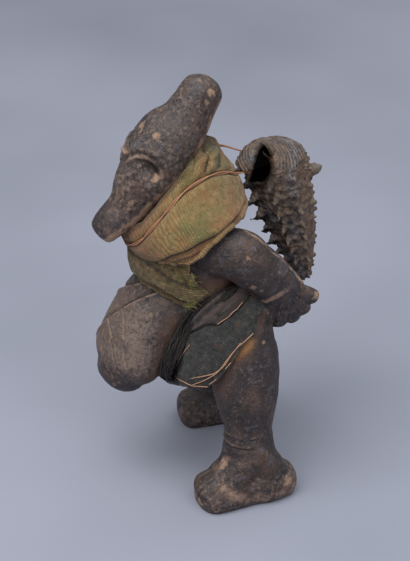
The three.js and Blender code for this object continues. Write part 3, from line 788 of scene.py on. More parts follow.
def woven(name, base, coats, rib, thread, sheen):
    """Hand-spun cotton in a plain weave with thick ribs one way: the ribs and the threads across
    them are drawn in mm on the cloth's own coordinates, and the threads vary in thickness."""
    material, tree, shader = start_material(name, IOR=1.45, Roughness=0.95, Sheen_Weight=sheen)
    where = add(tree, "ShaderNodeTexCoord").outputs["Object"]
    weave = add(tree, "ShaderNodeAttribute", attribute_name="weave").outputs["Vector"]
    # a wave repeats each 0.314 of its scaled coordinate
    ribs = add(tree, "ShaderNodeTexWave", {
        "Vector": weave, "Scale": 0.314 / rib, "Distortion": 0.5, "Detail": 2.0, "Detail Scale": 1.2},
        bands_direction="X")
    threads = add(tree, "ShaderNodeTexWave", {
        "Vector": weave, "Scale": 0.314 / thread, "Distortion": 1.1, "Detail": 2.0, "Detail Scale": 0.9},
        bands_direction="Y")
    clouds, fuzz, fleck = (grain(tree, where, size, detail) for size, detail in ((5, 5), (1.5, 5), (0.5, 3)))
    # the crease mark darkens the cloth in its folds and under what overhangs it: painted shade
    masks = {"clouds": clouds, "fuzz": fuzz, "fleck": fleck,
             "ribs": ribs.outputs[1], "threads": threads.outputs[1],
             **marks_of(tree, "stain", "crease", "green", "orange", "hem")}
    colour = painted(tree, colour_of(base), [(masks[m], low, high, code) for m, low, high, code in coats])
    height = add(tree, "ShaderNodeMath", {0: threads.outputs[1], 1: 0.6, 2: ribs.outputs[1]},
                 operation="MULTIPLY_ADD")
    lumpy = add(tree, "ShaderNodeMath", {0: fuzz, 1: 2.4, 2: height}, operation="MULTIPLY_ADD")
    finished(tree, shader, colour, lumpy, 0.25)
    return material


def fibre(name, dark, light, roughness, streak=0.35, sheen=0.0):
    """Twisted or dried plant fibre: each strand has its own shade, with streaks along it."""
    material, tree, shader = start_material(name, IOR=1.45, Roughness=roughness, Sheen_Weight=sheen)
    where = add(tree, "ShaderNodeTexCoord").outputs["Object"]
    strand = marks_of(tree, "strand")["strand"]
    streaks = grain(tree, where, streak, 3)
    both = add(tree, "ShaderNodeMath", {0: strand, 1: 0.6, 2: streaks}, operation="MULTIPLY_ADD")
    colour = painted(tree, colour_of(dark), [(both, 0.45, 1.1, light)])
    finished(tree, shader, colour, streaks, 0.1, strength=0.5)
    return material


def sea_shell():
    """A weathered sea snail shell: chalky grey-brown, dark with dirt between the whorls and near black
    in the mouth as painted shade, paler on the spines and the ribs of the lip."""
    material, tree, shader = start_material("snail_shell_weathered", IOR=1.53)
    where = add(tree, "ShaderNodeTexCoord").outputs["Object"]
    marks = marks_of(tree, "deep", "high", "cords", "dirt")
    clouds = grain(tree, where, 6, 4)
    mottle = grain(tree, where, 1.8, 5)
    speck = grain(tree, where, 0.6, 4)
    colour = painted(tree, colour_of("#4b403b"), [
        (clouds, 0.45, 0.65, "#5f4b3c"),
        (clouds, 0.47, 0.32, "#625f64"),
        (mottle, 0.5, 0.7, "#776658"),
        (mottle, 0.46, 0.3, "#2a2220"),
        (marks["cords"], 0.3, 1.0, "#2f2826"),
        (marks["dirt"], 0.1, 1.0, "#6d5848"),
        (mottle, 0.46, 0.34, "#2a2220"),
        (marks["high"], 0.3, 1.0, "#655a53"),
        (speck, 0.6, 0.76, "#877768"),
        (speck, 0.42, 0.28, "#241d1b"),
        # deep: dirt between the whorls, and painted shade in the mouth and along its edge
        (marks["deep"], 0.1, 0.8, "#080606"),
    ])
    gloss = add(tree, "ShaderNodeMapRange", {0: mottle, 1: 0.3, 2: 0.7, 3: 0.5, 4: 0.78})
    height = add(tree, "ShaderNodeMath", {0: speck, 1: 0.6, 2: mottle}, operation="MULTIPLY_ADD")
    # no gloss in the mouth, so that its painted shade stays black
    shine = add(tree, "ShaderNodeMapRange", {0: marks["deep"], 1: 0.0, 2: 0.7, 3: 0.5, 4: 0.0})
    finished(tree, shader, colour, height, 0.5, Roughness=gloss, Specular_IOR_Level=shine)
    return material


def matt_paper(code):
    """Matt background paper: no gloss at all, only a faint unevenness in its tone."""
    material, tree, shader = start_material("background_paper_matt", Roughness=1.0, Specular_IOR_Level=0.0)
    where = add(tree, "ShaderNodeTexCoord").outputs["Object"]
    colour = painted(tree, colour_of(code), [(grain(tree, where, 160, 2), 0.3, 0.8, "#9a9ead")])
    tree.links.new(colour, shader.inputs["Base Color"])
    return material


# Geometry Nodes trees

def start_tree(name, makes, takes):
    """A tree that makes one thing from named inputs of these kinds."""
    tree = bpy.data.node_groups.new(name, "GeometryNodeTree")
    for title, kind in takes.items():
        tree.interface.new_socket(title, in_out="INPUT", socket_type="NodeSocket" + kind)
    tree.interface.new_socket(makes, in_out="OUTPUT", socket_type="NodeSocketGeometry")
    return tree, add(tree, "NodeGroupInput").outputs


def end_tree(tree, made, finish):
    """Turns what the tree made into real faces and gives them their material."""
    real = add(tree, "GeometryNodeRealizeInstances", {"Geometry": made})
    done = add(tree, "GeometryNodeSetMaterial", {"Geometry": real, "Material": finish})
    add(tree, "NodeGroupOutput", {0: done})
    return tree


def arithmetic(tree):
    """A function that adds a step of arithmetic to the tree and gives what comes out of it."""
    def step(operation, *values):
        return add(tree, "ShaderNodeMath", dict(enumerate(values)), operation=operation).outputs[0]
    return step


def dressed(piece, tree, **sizes):
    """The piece worked by a tree with these sizes, as a plain mesh."""
    modifier = piece.modifiers.new(tree.name, "NODES")
    modifier.node_group = tree
    for item in tree.interface.items_tree:
        key = item.name.lower().replace(" ", "_")
        if item.in_out == "INPUT" and key in sizes:
            modifier[item.identifier] = sizes[key]
    return baked(piece)


# Strands along a path: belt, cord, straw and loose threads

def strand_tree():
    """Lays strands round each path: spread or scattered over a flat bundle, and twisted along it.
    The path is a line of edges whose points carry the way out of the surface as `out`."""
    tree, given = start_tree("strands_on_a_path", "Strands", {
        "Path": "Geometry", "Strands": "Int", "Half width": "Float", "Half thickness": "Float",
        "Strand radius": "Float", "Turns": "Float", "Scatter": "Float", "Stray": "Float",
        "Step": "Float", "Seed": "Int", "Finish": "Material"})
    maths = arithmetic(tree)

    # one copy of the path for each strand, at its own place round the bundle
    line = add(tree, "GeometryNodeMeshToCurve", {"Mesh": given["Path"]})
    spaced = add(tree, "GeometryNodeResampleCurve", {"Curve": line, "Length": given["Step"]}, mode="LENGTH")
    copies = add(tree, "GeometryNodeDuplicateElements", {"Geometry": spaced, "Amount": given["Strands"]},
                 domain="SPLINE")
    which = copies.outputs["Duplicate Index"]
    pick, pick_far = (add(tree, "FunctionNodeRandomValue",
                          {2: 0.0, 3: 1.0, "ID": which, "Seed": seed}).outputs[1]
                      for seed in (given["Seed"], 77))
    place = maths("MULTIPLY_ADD", pick, given["Scatter"], maths("DIVIDE", which, given["Strands"]))
    share = add(tree, "GeometryNodeSplineParameter").outputs["Factor"]
    angle = maths("MULTIPLY", maths("MULTIPLY_ADD", share, given["Turns"], place), 2 * math.pi)
    far = add(tree, "ShaderNodeMix", {0: given["Scatter"], 2: 1.0, 3: maths("POWER", pick_far, 0.5)})
    wide = maths("MULTIPLY", maths("COSINE", angle), maths("MULTIPLY", far, given["Half width"]))
    deep = maths("MULTIPLY", maths("SINE", angle), maths("MULTIPLY", far, given["Half thickness"]))

    # beside the path and out of the surface, with a little straying
    out = add(tree, "GeometryNodeInputNamedAttribute", {"Name": "out"}, data_type="FLOAT_VECTOR")
    upright = add(tree, "ShaderNodeVectorMath", {0: out}, operation="NORMALIZE")
    along = add(tree, "GeometryNodeInputTangent")
    beside = add(tree, "ShaderNodeVectorMath", {0: along, 1: upright}, operation="CROSS_PRODUCT")
    shift_wide = add(tree, "ShaderNodeVectorMath", {0: beside, "Scale": wide}, operation="SCALE")
    shift_deep = add(tree, "ShaderNodeVectorMath", {0: upright, "Scale": deep}, operation="SCALE")
    shift = add(tree, "ShaderNodeVectorMath", {0: shift_wide, 1: shift_deep}, operation="ADD")
    spot = add(tree, "GeometryNodeInputPosition")
    wander = add(tree, "ShaderNodeTexNoise", {"Vector": spot, "W": which, "Scale": 260.0, "Detail": 1.0},
                 noise_dimensions="4D")
    centred = add(tree, "ShaderNodeVectorMath", {0: wander.outputs["Color"], 1: (0.5, 0.5, 0.5)},
                  operation="SUBTRACT")
    stray = add(tree, "ShaderNodeVectorMath", {0: centred, "Scale": given["Stray"]}, operation="SCALE")
    total = add(tree, "ShaderNodeVectorMath", {0: shift, 1: stray}, operation="ADD")
    laid = add(tree, "GeometryNodeSetPosition", {"Geometry": copies, "Offset": total})

    marked = add(tree, "GeometryNodeStoreNamedAttribute", {"Geometry": laid, "Name": "strand", "Value": pick},
                 data_type="FLOAT")
    profile = add(tree, "GeometryNodeCurvePrimitiveCircle",
                  {"Resolution": 5, "Radius": given["Strand radius"]})
    tubes = add(tree, "GeometryNodeCurveToMesh",
                {"Curve": marked, "Profile Curve": profile, "Fill Caps": True})
    soft = add(tree, "GeometryNodeSetShadeSmooth", {"Geometry": tubes})
    return end_tree(tree, soft, given["Finish"])


STRANDS = strand_tree()


def strands(name, paths, outs, finish, strands=1, half_width=0.0, half_thickness=0.0, radius=0.1,
            turns=0.0, scatter=0.0, stray=0.0, step=0.8, seed=0, closed=False):
    """Strands along one path or several; sizes in mm."""
    points, edges, start = [], [], 0
    for path in paths:
        points += list(path)
        edges += [(start + k, start + k + 1) for k in range(len(path) - 1)]
        if closed:
            edges.append((start + len(path) - 1, start))
        start += len(path)
    piece = piece_of(name, np.array(points), [], edges)
    set_values(piece, "out", np.vstack(outs))
    return dressed(piece, STRANDS, strands=strands, half_width=half_width * MM,
                   half_thickness=half_thickness * MM, strand_radius=radius * MM, turns=turns,
                   scatter=scatter, stray=stray * MM, step=step * MM, seed=seed, finish=finish)


# Cloth cut from a form a little larger than the body

def trimmed(points, faces, rule):
    """The part of a triangle skin where the rule is above nought, cut cleanly through its faces."""
    value = rule(points)
    inside = value > 0
    count = inside[faces].sum(1)
    points, kept, made = list(points), faces[count == 3].tolist(), {}

    def crossing(a, b):
        key = (min(a, b), max(a, b))
        if key not in made:
            share = value[a] / (value[a] - value[b])
            made[key] = len(points)
            points.append(points[a] + (points[b] - points[a]) * share)
        return made[key]

    for face in faces[(count == 1) | (count == 2)]:
        lone = inside[face].sum()
        k = int(np.argmax(inside[face] == (lone == 1)))
        a, b, c = (int(face[(k + i) % 3]) for i in range(3))
        ab, ac = crossing(a, b), crossing(a, c)
        kept += [[a, ab, ac]] if lone == 1 else [[ab, b, c], [ab, c, ac]]
    used, faces = np.unique(np.array(kept), return_inverse=True)
    return np.array(points)[used], faces.reshape(-1, 3)


def thickened(piece, thickness, finish):
    """The cloth with its material and its thickness inwards."""
    piece.data.materials.append(finish)
    piece.data.polygons.foreach_set("use_smooth", [True] * len(piece.data.polygons))
    wall = piece.modifiers.new("thickness", "SOLIDIFY")
    wall.thickness = thickness * MM
    wall.offset = -1
    return baked(piece)


def cut_cloth(name, form, rules, thickness, finish, lay, weave, marks):
    """A cloth cut from a form by rules and laid in folds, with its weave's coordinates and marks."""
    points, faces = points_of(form)[0], triangles_of(form)
    bpy.data.objects.remove(form)
    for rule in rules:
        points, faces = trimmed(points, faces, rule)
    piece = piece_of(name, points, faces.tolist())
    largest_part_only(piece)
    points, normals = points_of(piece)
    set_values(piece, "weave", weave(points))
    for key, values in marks(points).items():
        set_values(piece, key, np.clip(values, 0, 1))
    set_points(piece, points + normals * lay(points)[:, None])
    return thickened(piece, thickness, finish)


def largest_part_only(piece):
    """Drops the crumbs that a cut leaves beside the cloth."""
    mesh = bmesh.new()
    mesh.from_mesh(piece.data)
    left, parts = set(mesh.verts), []
    while left:
        stack, part = [left.pop()], []
        while stack:
            vert = stack.pop()
            part.append(vert)
            for edge in vert.link_edges:
                other = edge.other_vert(vert)
                if other in left:
                    left.discard(other)
                    stack.append(other)
        parts.append(part)
    parts.sort(key=len)
    bmesh.ops.delete(mesh, geom=[v for part in parts[:-1] for v in part], context="VERTS")
    mesh.to_mesh(piece.data)
    mesh.free()


# Neck cloth: a wide strip rolled round the neck, gathered above the cord that ties it

NECK_WRAP = [
    [0, -21.2, 85, 20.0, 18.0],
    [0, -21.6, 91.5, 24.4, 20.4],
    [0, -21.3, 97, 25.2, 20.9],
    [0, -20.4, 103, 23.6, 19.7],
    [0, -19.6, 108.5, 19.8, 17.0],
    [0, -19.2, 114, 15.8, 14.0],
    [0, -19.6, 121, 12.6, 10.4],
]
# Lines round the neck: the angle from the front in radians, and the height
HEM = [
    [0, 88.6], [0.2, 89.3], [0.37, 88.1], [0.55, 89.0], [0.9, 89.6], [1.1, 89.4], [1.32, 90.8],
    [1.51, 94.5], [1.66, 97.5], [1.87, 100.4], [2.22, 101.7], [2.63, 102.5], [3.15, 103.8],
]
TURN_UNDER = [
    [0, 86], [0.70, 89.5], [0.98, 93.9], [1.2, 96.1], [1.47, 99.1], [1.74, 101.1], [2.09, 103.5],
    [2.54, 104.4], [3.15, 105.6],
]
RIM = [
    [0, 96], [0.3, 99.4], [0.45, 103.4], [0.6, 108.2], [0.75, 112.2], [0.9, 115.4], [1.1, 118.2],
    [1.5, 120.8], [1.9, 121.8], [3.15, 122],
]
CORD_LINE = [
    [0, 89.8], [0.3, 93.0], [0.52, 97.6], [0.73, 105], [0.88, 109.2], [1.1, 113.1], [1.5, 116.2],
    [1.9, 117], [2.4, 115.4], [2.75, 112.6], [3.15, 110.5],
]
NECK_RADIUS = 20  # turns angles round the neck into mm of cloth


def wrap_at(height):
    """The rolled cloth's middle (y), half-width and half-depth at each height."""
    rows = smooth_rows(NECK_WRAP, 121)
    return [np.interp(height, rows[:, 2], rows[:, k]) for k in (1, 3, 4)]


def height_of(line, angle):
    """The height of a line round the neck at each angle."""
    rows = smooth_rows(line, 241)
    return np.interp(np.abs(angle), rows[:, 0], rows[:, 1])


def above(line, angle, height):
    """How far above a line round the neck each place is, square to the line."""
    rows = smooth_rows(line, 241)
    slope = np.interp(np.abs(angle), rows[:, 0], np.gradient(rows[:, 1], rows[:, 0])) / 21
    return (height - height_of(line, angle)) / np.sqrt(1 + slope ** 2)


def rolled_sheet(columns, rows, folded, tucked):
    """The cloth's points in rings, from the tuck under its hem to the fold over its rim, its
    faces, and each point's angle from the front."""
    angle = np.linspace(-math.pi, math.pi, columns, endpoint=False)
    low, top = height_of(HEM, angle), height_of(RIM, angle)
    rings = []
    for k in range(-tucked, rows + folded):
        share = min(1, max(0, k / (rows - 1)))
        height = low + (top - low) * share
        middle, width, depth = wrap_at(height)
        under = max(0, -k)
        over = max(0, k - rows + 1) / folded
        inward = 1 - 0.02 * under - 0.5 * over
        x = np.sin(angle) * width * inward
        y = middle - np.cos(angle) * depth * inward
        rise = 0.12 * under + 0.7 * math.sin(math.pi * min(1, 2.5 * over)) + 2.4 * over
        rings.append(np.stack([x, y, height + rise], -1))
    i = np.arange(columns)
    j = (i + 1) % columns
    start = np.arange(len(rings) - 1)[:, None] * columns
    faces = np.stack([start + i, start + j, start + columns + j, start + columns + i], -1).reshape(-1, 4)
    return np.concatenate(rings), faces.tolist(), np.tile(np.abs(angle), len(rings))


def clear_of(body, points, normals, columns, first, last, gap=0.9):
    """How far the rings from first to last have to come out to lie that gap off the clay, spread
    softly round each place so that no dent is left."""
    skin = tree_of(body)
    clear = np.zeros(len(points))
    for k in range(first * columns, last * columns):
        place, normal, *_ = skin.find_nearest(Vector(points[k]))
        clear[k] = max(0.0, gap - (Vector(points[k]) - place).dot(normal))
    near = clear.reshape(-1, columns)
    for _ in range(10):
        spread = (np.roll(near, 1, 1) + np.roll(near, -1, 1) + near) / 3
        spread[1:-1] = (spread[:-2] + 2 * spread[1:-1] + spread[2:]) / 4
        near = np.maximum(spread, 0.5 * clear.reshape(-1, columns))
    return normals * np.maximum(near.ravel(), clear)[:, None]


def neck_cloth(finish, body, columns=320, rows=74, folded=16, tucked=8):
    """A roll drawn in under the cord, doubled along its lower edge and fanned into a collar."""
    points, faces, turn = rolled_sheet(columns, rows, folded, tucked)
    piece = piece_of("neck_cloth_rolled", points, faces)
    normals = points_of(piece)[1]
    z = points[:, 2]
    wobble = rough(points, 4, 2, 21)
    cord = above(CORD_LINE, turn, z) + 0.25 * wobble
    under = -above(TURN_UNDER, turn, z) + 0.35 * wobble
    over_rim = z - height_of(RIM, turn)
    side = ramp(turn, 0.6, 0.85)
    place = NECK_RADIUS * turn + 0.55 * cord
    collar = ramp(turn, 1.15, 1.5) * ramp(cord, 0.5, 2.2) * ramp(-over_rim, -3.6, -1.6)
    fan = math.pi * (turn * 12 - 0.9 * cord + 0.9 * rough(points, 9, 2, 22)) / 6.0
    pleats = np.sin(place * 2 * math.pi / 2.3 + 1.6 * wobble)
    pleats *= hill(cord - 1.4, 1.2) + hill(cord + 1.4, 1.6)

    lay = 0.55 * rough(points, 11, 2, 23) + 0.2 * wobble + 0.06 * pleats
    lay += 1.5 * collar * (np.abs(np.sin(fan)) ** 0.8 - 0.6) * (1 - 0.5 * ramp(turn, 2.1, 2.5))
    lay += -0.85 * hill(cord, 0.6) + 0.45 * hill(cord + 2.4, 1.8) + 0.3 * hill(cord - 2.2, 1.3)
    lay += side * (0.45 * hill(under + 1.3, 1.4) - 0.7 * hill(under - 0.3, 0.4))
    lay += side * (-0.4 * ramp(under, 0.1, 0.6))
    lay += side * 0.25 * np.cos(2 * math.pi * under / 2.4) * ramp(under, 0.7, 1.4)

    # painted shade: dark in the creases at the cord and the turn-under, between the collar's fans, over the
    # rim, and in the jaw's shadow
    crease = [
        0.85 * hill(cord + 0.2, 0.6),
        side * hill(under - 0.3, 0.4),
        0.8 * collar * hill(np.sin(fan), 0.3),
        0.7 * ramp(over_rim, 0.5, 1.5),
        # painted shadow of the jaw on the cloth under it
        0.55 * ramp(over_rim, -3.0, 0) * ramp(-turn, -1.3, -1.0),
        0.5 * side * hill(under - 2.9, 0.4),
    ]
    stain = [
        side * 0.75 * ramp(under, 0.3, 1.0) * (0.75 + 0.4 * wobble),
        0.9 * hill(cord + 1.5, 2.2) * ramp(-turn, -1.0, -0.4) * (0.7 + 0.5 * wobble),
        0.6 * ramp(-turn, -1.1, -0.5),
    ]
    green = [
        hill(np.hypot(NECK_RADIUS * (turn - 1.36), z - 103.5), 5.5) * (0.75 + 0.5 * wobble),
        0.5 * hill(turn - 1.18, 0.24) * ramp(cord, 0.4, 1.4),
        0.6 * hill(turn - 2.3, 0.25) * ramp(cord, 0.5, 2),
        0.4 * ramp(rough(points, 9, 2, 27), 0.3, 0.7),
    ]
    orange = [
        0.7 * hill(turn - 1.6, 0.15) * ramp(cord, 0.5, 2),
        0.7 * hill(turn - 0.25, 0.22) * ramp(cord, 0, 1),
        0.7 * ramp(rough(points, 6, 3, 26), 0.1, 0.6),
        0.7 * hill(turn - 2.1, 0.25) * hill(under + 3, 4),
        0.9 * hill(above(HEM, turn, z) - 2.5, 3.5) * ramp(rough(points, 2.2, 3, 28), -0.35, 0.25),
    ]
    hem = [0.45 * hill(above(HEM, turn, z), 0.3)]
    set_values(piece, "weave", np.stack([place, cord, 0 * z], -1))
    for name, masks in (("crease", crease), ("stain", stain), ("green", green), ("orange", orange),
                        ("hem", hem)):
        set_values(piece, name, np.clip(np.maximum.reduce(masks), 0, 1))
    points = points + normals * lay[:, None]
    set_points(piece, points + clear_of(body, points, normals, columns, tucked, tucked + rows))
    return thickened(piece, 0.8, finish)


def cord_path(reach=2.7, lift=0.1):
    """Round the rolled cloth, low in front and high beside the neck, then out to the shell."""
    angle = np.linspace(-reach, reach, 90)
    height = height_of(CORD_LINE, angle) + 6 * ramp(-angle, 1.7, 2.7)
    middle, width, depth = wrap_at(height)
    path = np.stack([np.sin(angle) * (width + lift), middle - np.cos(angle) * (depth + lift), height], -1)
    ends = [[[-3.2, 1.2, 115.8], [-3.0, -0.4, 116.4], [-3.4, -4.5, 118.2]],
            [[2.6, 0.2, 110.8], [2.3, 1.4, 111.2], [2.0, 2.6, 111.7]]]
    path = np.vstack([ends[0], path, ends[1]])
    out = np.stack([path[:, 0], path[:, 1] + 19.5, 0 * path[:, 2]], -1)
    return smooth_rows(path, 300), smooth_rows(out, 300)


def hanging_cord(finish):
    """Two plies that hardly twist, with a small round knot behind the neck."""
    path, out = cord_path()
    turn = np.linspace(0, 4 * math.pi, 60)
    knot = np.stack([2.3 + 0.8 * np.cos(turn), 0.2 + 0.25 * turn / math.pi, 111.1 + 0.8 * np.sin(turn)], -1)
    facing = np.stack([np.cos(turn), 0 * turn, np.sin(turn)], -1)
    return strands("hanging_cord_two_ply", [path, knot], [out, facing], finish, strands=2, half_width=0.3,
                   half_thickness=0.1, radius=0.27, turns=7, stray=0.25, step=0.45, seed=3)


# Chest band: two turns of cloth, aslant over the chest, with a ragged end

BAND_SLOPE = 0.34
# The band's lower edge and the edge of the strip lapped over it, as x and z
BAND_LOW = np.array([[-20, 84], [-5, 79.2], [3.1, 76.7], [9.4, 76.2], [12.5, 75.2], [14.9, 74.1],
                     [16.3, 72.6], [20, 71.5]])
BAND_OVERLAP = np.array([[-20, 88], [-4, 82], [-0.4, 80.2], [6.6, 79.4], [12.7, 77.9], [14.9, 76.2],
                         [20, 73]])
# Its ragged end, as z and y
BAND_END = np.array([[70, -25.4], [72.9, -25], [77.9, -20.4], [83.8, -24.7], [90, -27]])


def chest_band(finish):
    """Two strips, one lapped over the other, cut off ragged under the near arm."""
    def over_low(p):
        return p[:, 2] - np.interp(p[:, 0], *BAND_LOW.T)

    def seam(p):
        return p[:, 2] - np.interp(p[:, 0], *BAND_OVERLAP.T) + 0.35 * rough(p, 4, 2, 31)

    def from_end(p):
        return np.interp(p[:, 2], *BAND_END.T) - p[:, 1]

    def weave(p):
        around = np.degrees(np.arctan2(p[:, 0], -p[:, 1] - 14)) * 0.33
        across = p[:, 2] + BAND_SLOPE * p[:, 0]
        upper = seam(p) > 0
        return np.stack([np.where(upper, across, around + 0.2 * across), np.where(upper, around, across),
                         0 * around], -1)

    def marks(p):
        off = seam(p)
        ragged = 1 + 0.5 * rough(p, 1.5, 3, 36)
        # the crease mark is painted shade: the shadow under the lapped strip's edge, and a second dark line
        # higher up
        return {"crease": hill(off + 0.35, 0.5) + 0.7 * hill(off - 7.2, 0.9),
                "stain": 0.8 * ramp(-off, 0.2, 0.8) + 0.3 * rough(p, 3, 2, 37),
                "green": 1.3 * ragged * ramp(-from_end(p), -3.2, 0) * ramp(-p[:, 2], -77, -73),
                # along the cut end above the lower edge the pale mark is a painted highlight on the lit edge;
                # along the lower edge it is the pale hem
                "hem": hill(from_end(p), 0.5) * ramp(p[:, 2], 77, 79) + 0.5 * hill(over_low(p), 0.4)}

    def lay(p):
        off = seam(p)
        bulge = 2.2 * hill(p[:, 0], 10) * ramp(p[:, 2], 75.5, 79.5) * ramp(-p[:, 1], 26, 30)
        pleats = 0.16 * ramp(-off, 0.3, 1) * np.sin(p[:, 0] * 2 * math.pi / 1.9 + 1.5 * rough(p, 5, 1, 38))
        return (bulge + pleats + 0.7 * ramp(off, -0.3, 0.3) - 0.5 * hill(off + 0.4, 0.45)
                + 0.4 * rough(p, 6, 2, 32) + 0.14 * rough(p, 2, 2, 33))

    form = fused("band_form", [torso(1.4), belly(1.4)], 0.5, 18)
    return cut_cloth("chest_band_two_strips", form, [
        lambda p: over_low(p) + 0.25 * rough(p, 2.5, 2, 34),
        lambda p: 92 - p[:, 2],
        lambda p: from_end(p) + 1.1 * rough(p, 2.0, 4, 35),
    ], 0.7, finish, lay, weave, marks)


def frayed_end(finish, body):
    """Loose threads over the chest band's cut end."""
    rng = np.random.default_rng(6)
    skin, lines = tree_of(body), []
    for height in 72.6 + 12 * rng.random(80) ** 1.6:
        start = np.array([16.6 + 0.25 * (height - 73), np.interp(height, *BAND_END.T) - 2.6, height])
        way = np.array([rng.uniform(0.1, 0.5), rng.uniform(0.6, 1.7), rng.uniform(-1.7, 0.5)])
        lift = rng.uniform(0.7, 2.3)
        lines.append(laid_line(skin, [start, start + way, start + 2 * way + rng.normal(0, 0.5, 3)], lift))
    paths, outs = zip(*lines)
    return strands("chest_band_frayed_end", paths, outs, finish, strands=1, radius=0.1, stray=1.0, step=0.4,
                   seed=2)


# Fibre belt

BELT = [[0, -28.5, 38.5], [8, -29.6, 40.2], [14.5, -33.8, 46.6], [16.4, -31.2, 55.4], [15.8, -26.2, 62.8],
        [18.6, -20.2, 71.8], [19.6, -14, 74.6], [16.5, -6, 76], [9, -1.2, 77], [0, 0.2, 77]]


def fibre_belt(finish):
    """Fibre in a loose twist, from under the belly up along both its sides and round the back."""
    near = smooth_rows(BELT, 90)
    path = np.vstack([near, near[-2:0:-1] * [-1, 1, 1]])
    out = unit(np.stack([path[:, 0], path[:, 1] + 18, 0 * path[:, 2]], -1))
    return strands("fibre_belt_loose_twist", [path], [out], finish, strands=150, half_width=2.9,
                   half_thickness=1.6, radius=0.19, turns=2.3, scatter=1.0, stray=3.0, step=1.5, seed=8,
                   closed=True)


# Loincloth and the straw on its edge

# Lines seen from the side: y and z where they cross the plane HIP_SIDE from the middle
HIP_SIDE = 20
LEAN = [0.37, 0.55]  # how such a line moves forwards and up for each mm further out than HIP_SIDE
BORDER = np.array([[-38, 44], [-32.0, 43.6], [-25.2, 42.4], [-19.8, 41.7], [-16.9, 43.9], [-13.3, 47.1],
                   [-10.7, 50.5], [-7.9, 55.1], [-3.9, 58.4], [-0.2, 61.7]])
FOLD = np.array([[-40, 56], [-28, 62.5], [-26.1, 63.8], [-20.5, 65.7], [-16.6, 65.0], [-11.3, 67.6],
                 [-7, 71.9], [-4.1, 74.8], [10, 86]])
TOP = np.array([[-36, 50], [-28, 63.5], [-20.4, 71.5], [-14, 75], [-6, 77.5], [10, 79]])
STALKS = [
    [[-32.2, 47.2], [-27.4, 44.5], [-25.2, 43.2], [-22.0, 42.5], [-19.8, 42.0]],
    [[-29.7, 45.3], [-23.4, 46.2], [-19.4, 46.5], [-17.3, 46.9], [-14.3, 48.9], [-11.7, 52.3],
     [-9.2, 55.4], [-8.2, 56.6]],
    [[-25.2, 43.5], [-20.9, 44.8], [-17.3, 46.4], [-15.3, 48.2], [-12.6, 51.6], [-9.4, 55.0],
     [-6.8, 57.0], [-3.9, 59.4]],
    [[-19.3, 42.8], [-16.8, 44.5]],
    [[-13.5, 47.7], [-11.5, 49.9]],
    [[-26.1, 58.6], [-28.9, 55.0], [-32.0, 49.6]],
    [[-16.6, 65.3], [-11.8, 67.8], [-7.6, 71.6]],
]
POUCH = [  # the near side's fullness between belly and thigh; the far side's is its mirror image
    [10, -15, 70, 9, 8],
    [14.5, -14.8, 62, 11, 9.8],
    [17.5, -15.8, 54, 12, 11.8],
    [18.2, -16.6, 46, 11.6, 12.8],
    [17.6, -15.6, 40, 10, 12],
]


def unleaned(p):
    """Where points are seen from the side, as y and z on the plane of such lines."""
    off = np.abs(p[:, 0]) - HIP_SIDE
    return p[:, 1] + LEAN[0] * off, p[:, 2] - LEAN[1] * off


def loincloth(finish):
    """An upper layer folded down over a fuller one that hangs as a pouch between belly and thigh."""
    def over(line, p):
        y, z = unleaned(p)
        return z - np.interp(y, *line.T)

    def covered(p):
        y, z = unleaned(p)
        panel = np.minimum(over(BORDER, p), 5 * ramp(z, 64, 72) - 2.4 - y)
        flap = np.minimum(11.5 - np.abs(p[:, 0]), np.maximum(z - 41, p[:, 1] + 12))
        return np.maximum(panel, flap) + 0.25 * rough(p, 3, 3, 41)

    def under_belt(p):
        return np.minimum(1.5 - over(TOP, p), 9.5 - p[:, 1])

    def layer(p):
        return over(FOLD, p) + 0.5 * rough(p, 5, 2, 42)

    def weave(p):
        y, z = unleaned(p)
        return np.stack([0.6 * y + 0.8 * z, 0.8 * y - 0.6 * z, 0 * z], -1)

    def waves(p):
        y, z = unleaned(p)
        across = 0.82 * z - 0.57 * y
        return np.sin(across * 1.15 + 2.0 * rough(np.stack([0.3 * y, across, p[:, 0]], -1), 6, 2, 43))

    def lay(p):
        off, upper = layer(p), ramp(layer(p), -0.3, 0.4)
        return (0.6 * upper - 0.5 * hill(off + 0.4, 0.5) + (0.08 + 0.22 * upper) * waves(p)
                + 0.6 * rough(p, 9, 2, 44) + 0.22 * rough(p, 3, 2, 45))

    def marks(p):
        off, upper = layer(p), ramp(layer(p), -0.3, 0.4)
        # the crease mark is painted shade: dark along the fold and in the troughs of the upper layer's waves
        return {"crease": hill(off + 0.4, 0.6) + 0.5 * upper * ramp(-waves(p), 0.5, 1),
                "stain": upper * (0.55 + 0.4 * ramp(waves(p), 0.0, 1) + 0.4 * rough(p, 2.2, 3, 47))
                + 0.5 * hill(over(BORDER, p), 0.8),
                "orange": 0.8 * ramp(rough(p, 4, 2, 46), 0.35, 0.7)}

    fillers = [ball(np.array([0.0, -24.0, 42.0]), np.array([11.0, 8.0, 9.5]))]
    for side in (1, -1):
        fillers += [ball(np.array([6.0 * side, 0.0, 63.0]), np.array([10.0, 8.5, 11.0])),
                    limb([[side * x, *row] for x, *row in POUCH])]
    form = fused("hip_form", [torso(1.5), *fillers, *[leg(**one, grow=1.5) for one in LEGS]], 0.5, 12)
    return cut_cloth("loincloth_two_layers", form, [covered, under_belt], 0.9, finish, lay, weave, marks)


def seen_line(skin, places, side=1, lift=0.35, count=50):
    """A line on a skin through places given on the plane HIP_SIDE from the middle."""
    points, outs = [], []
    for y, z in smooth_rows(places, count):
        far = 60 - HIP_SIDE
        origin = Vector((60 * side, y - LEAN[0] * far, z + LEAN[1] * far))
        hit, normal, *_ = skin.ray_cast(origin, Vector((-side, LEAN[0], -LEAN[1])))
        if hit is not None:
            points.append(np.array(hit + normal * lift))
            outs.append(np.array(normal))
    return np.array(points), np.array(outs)


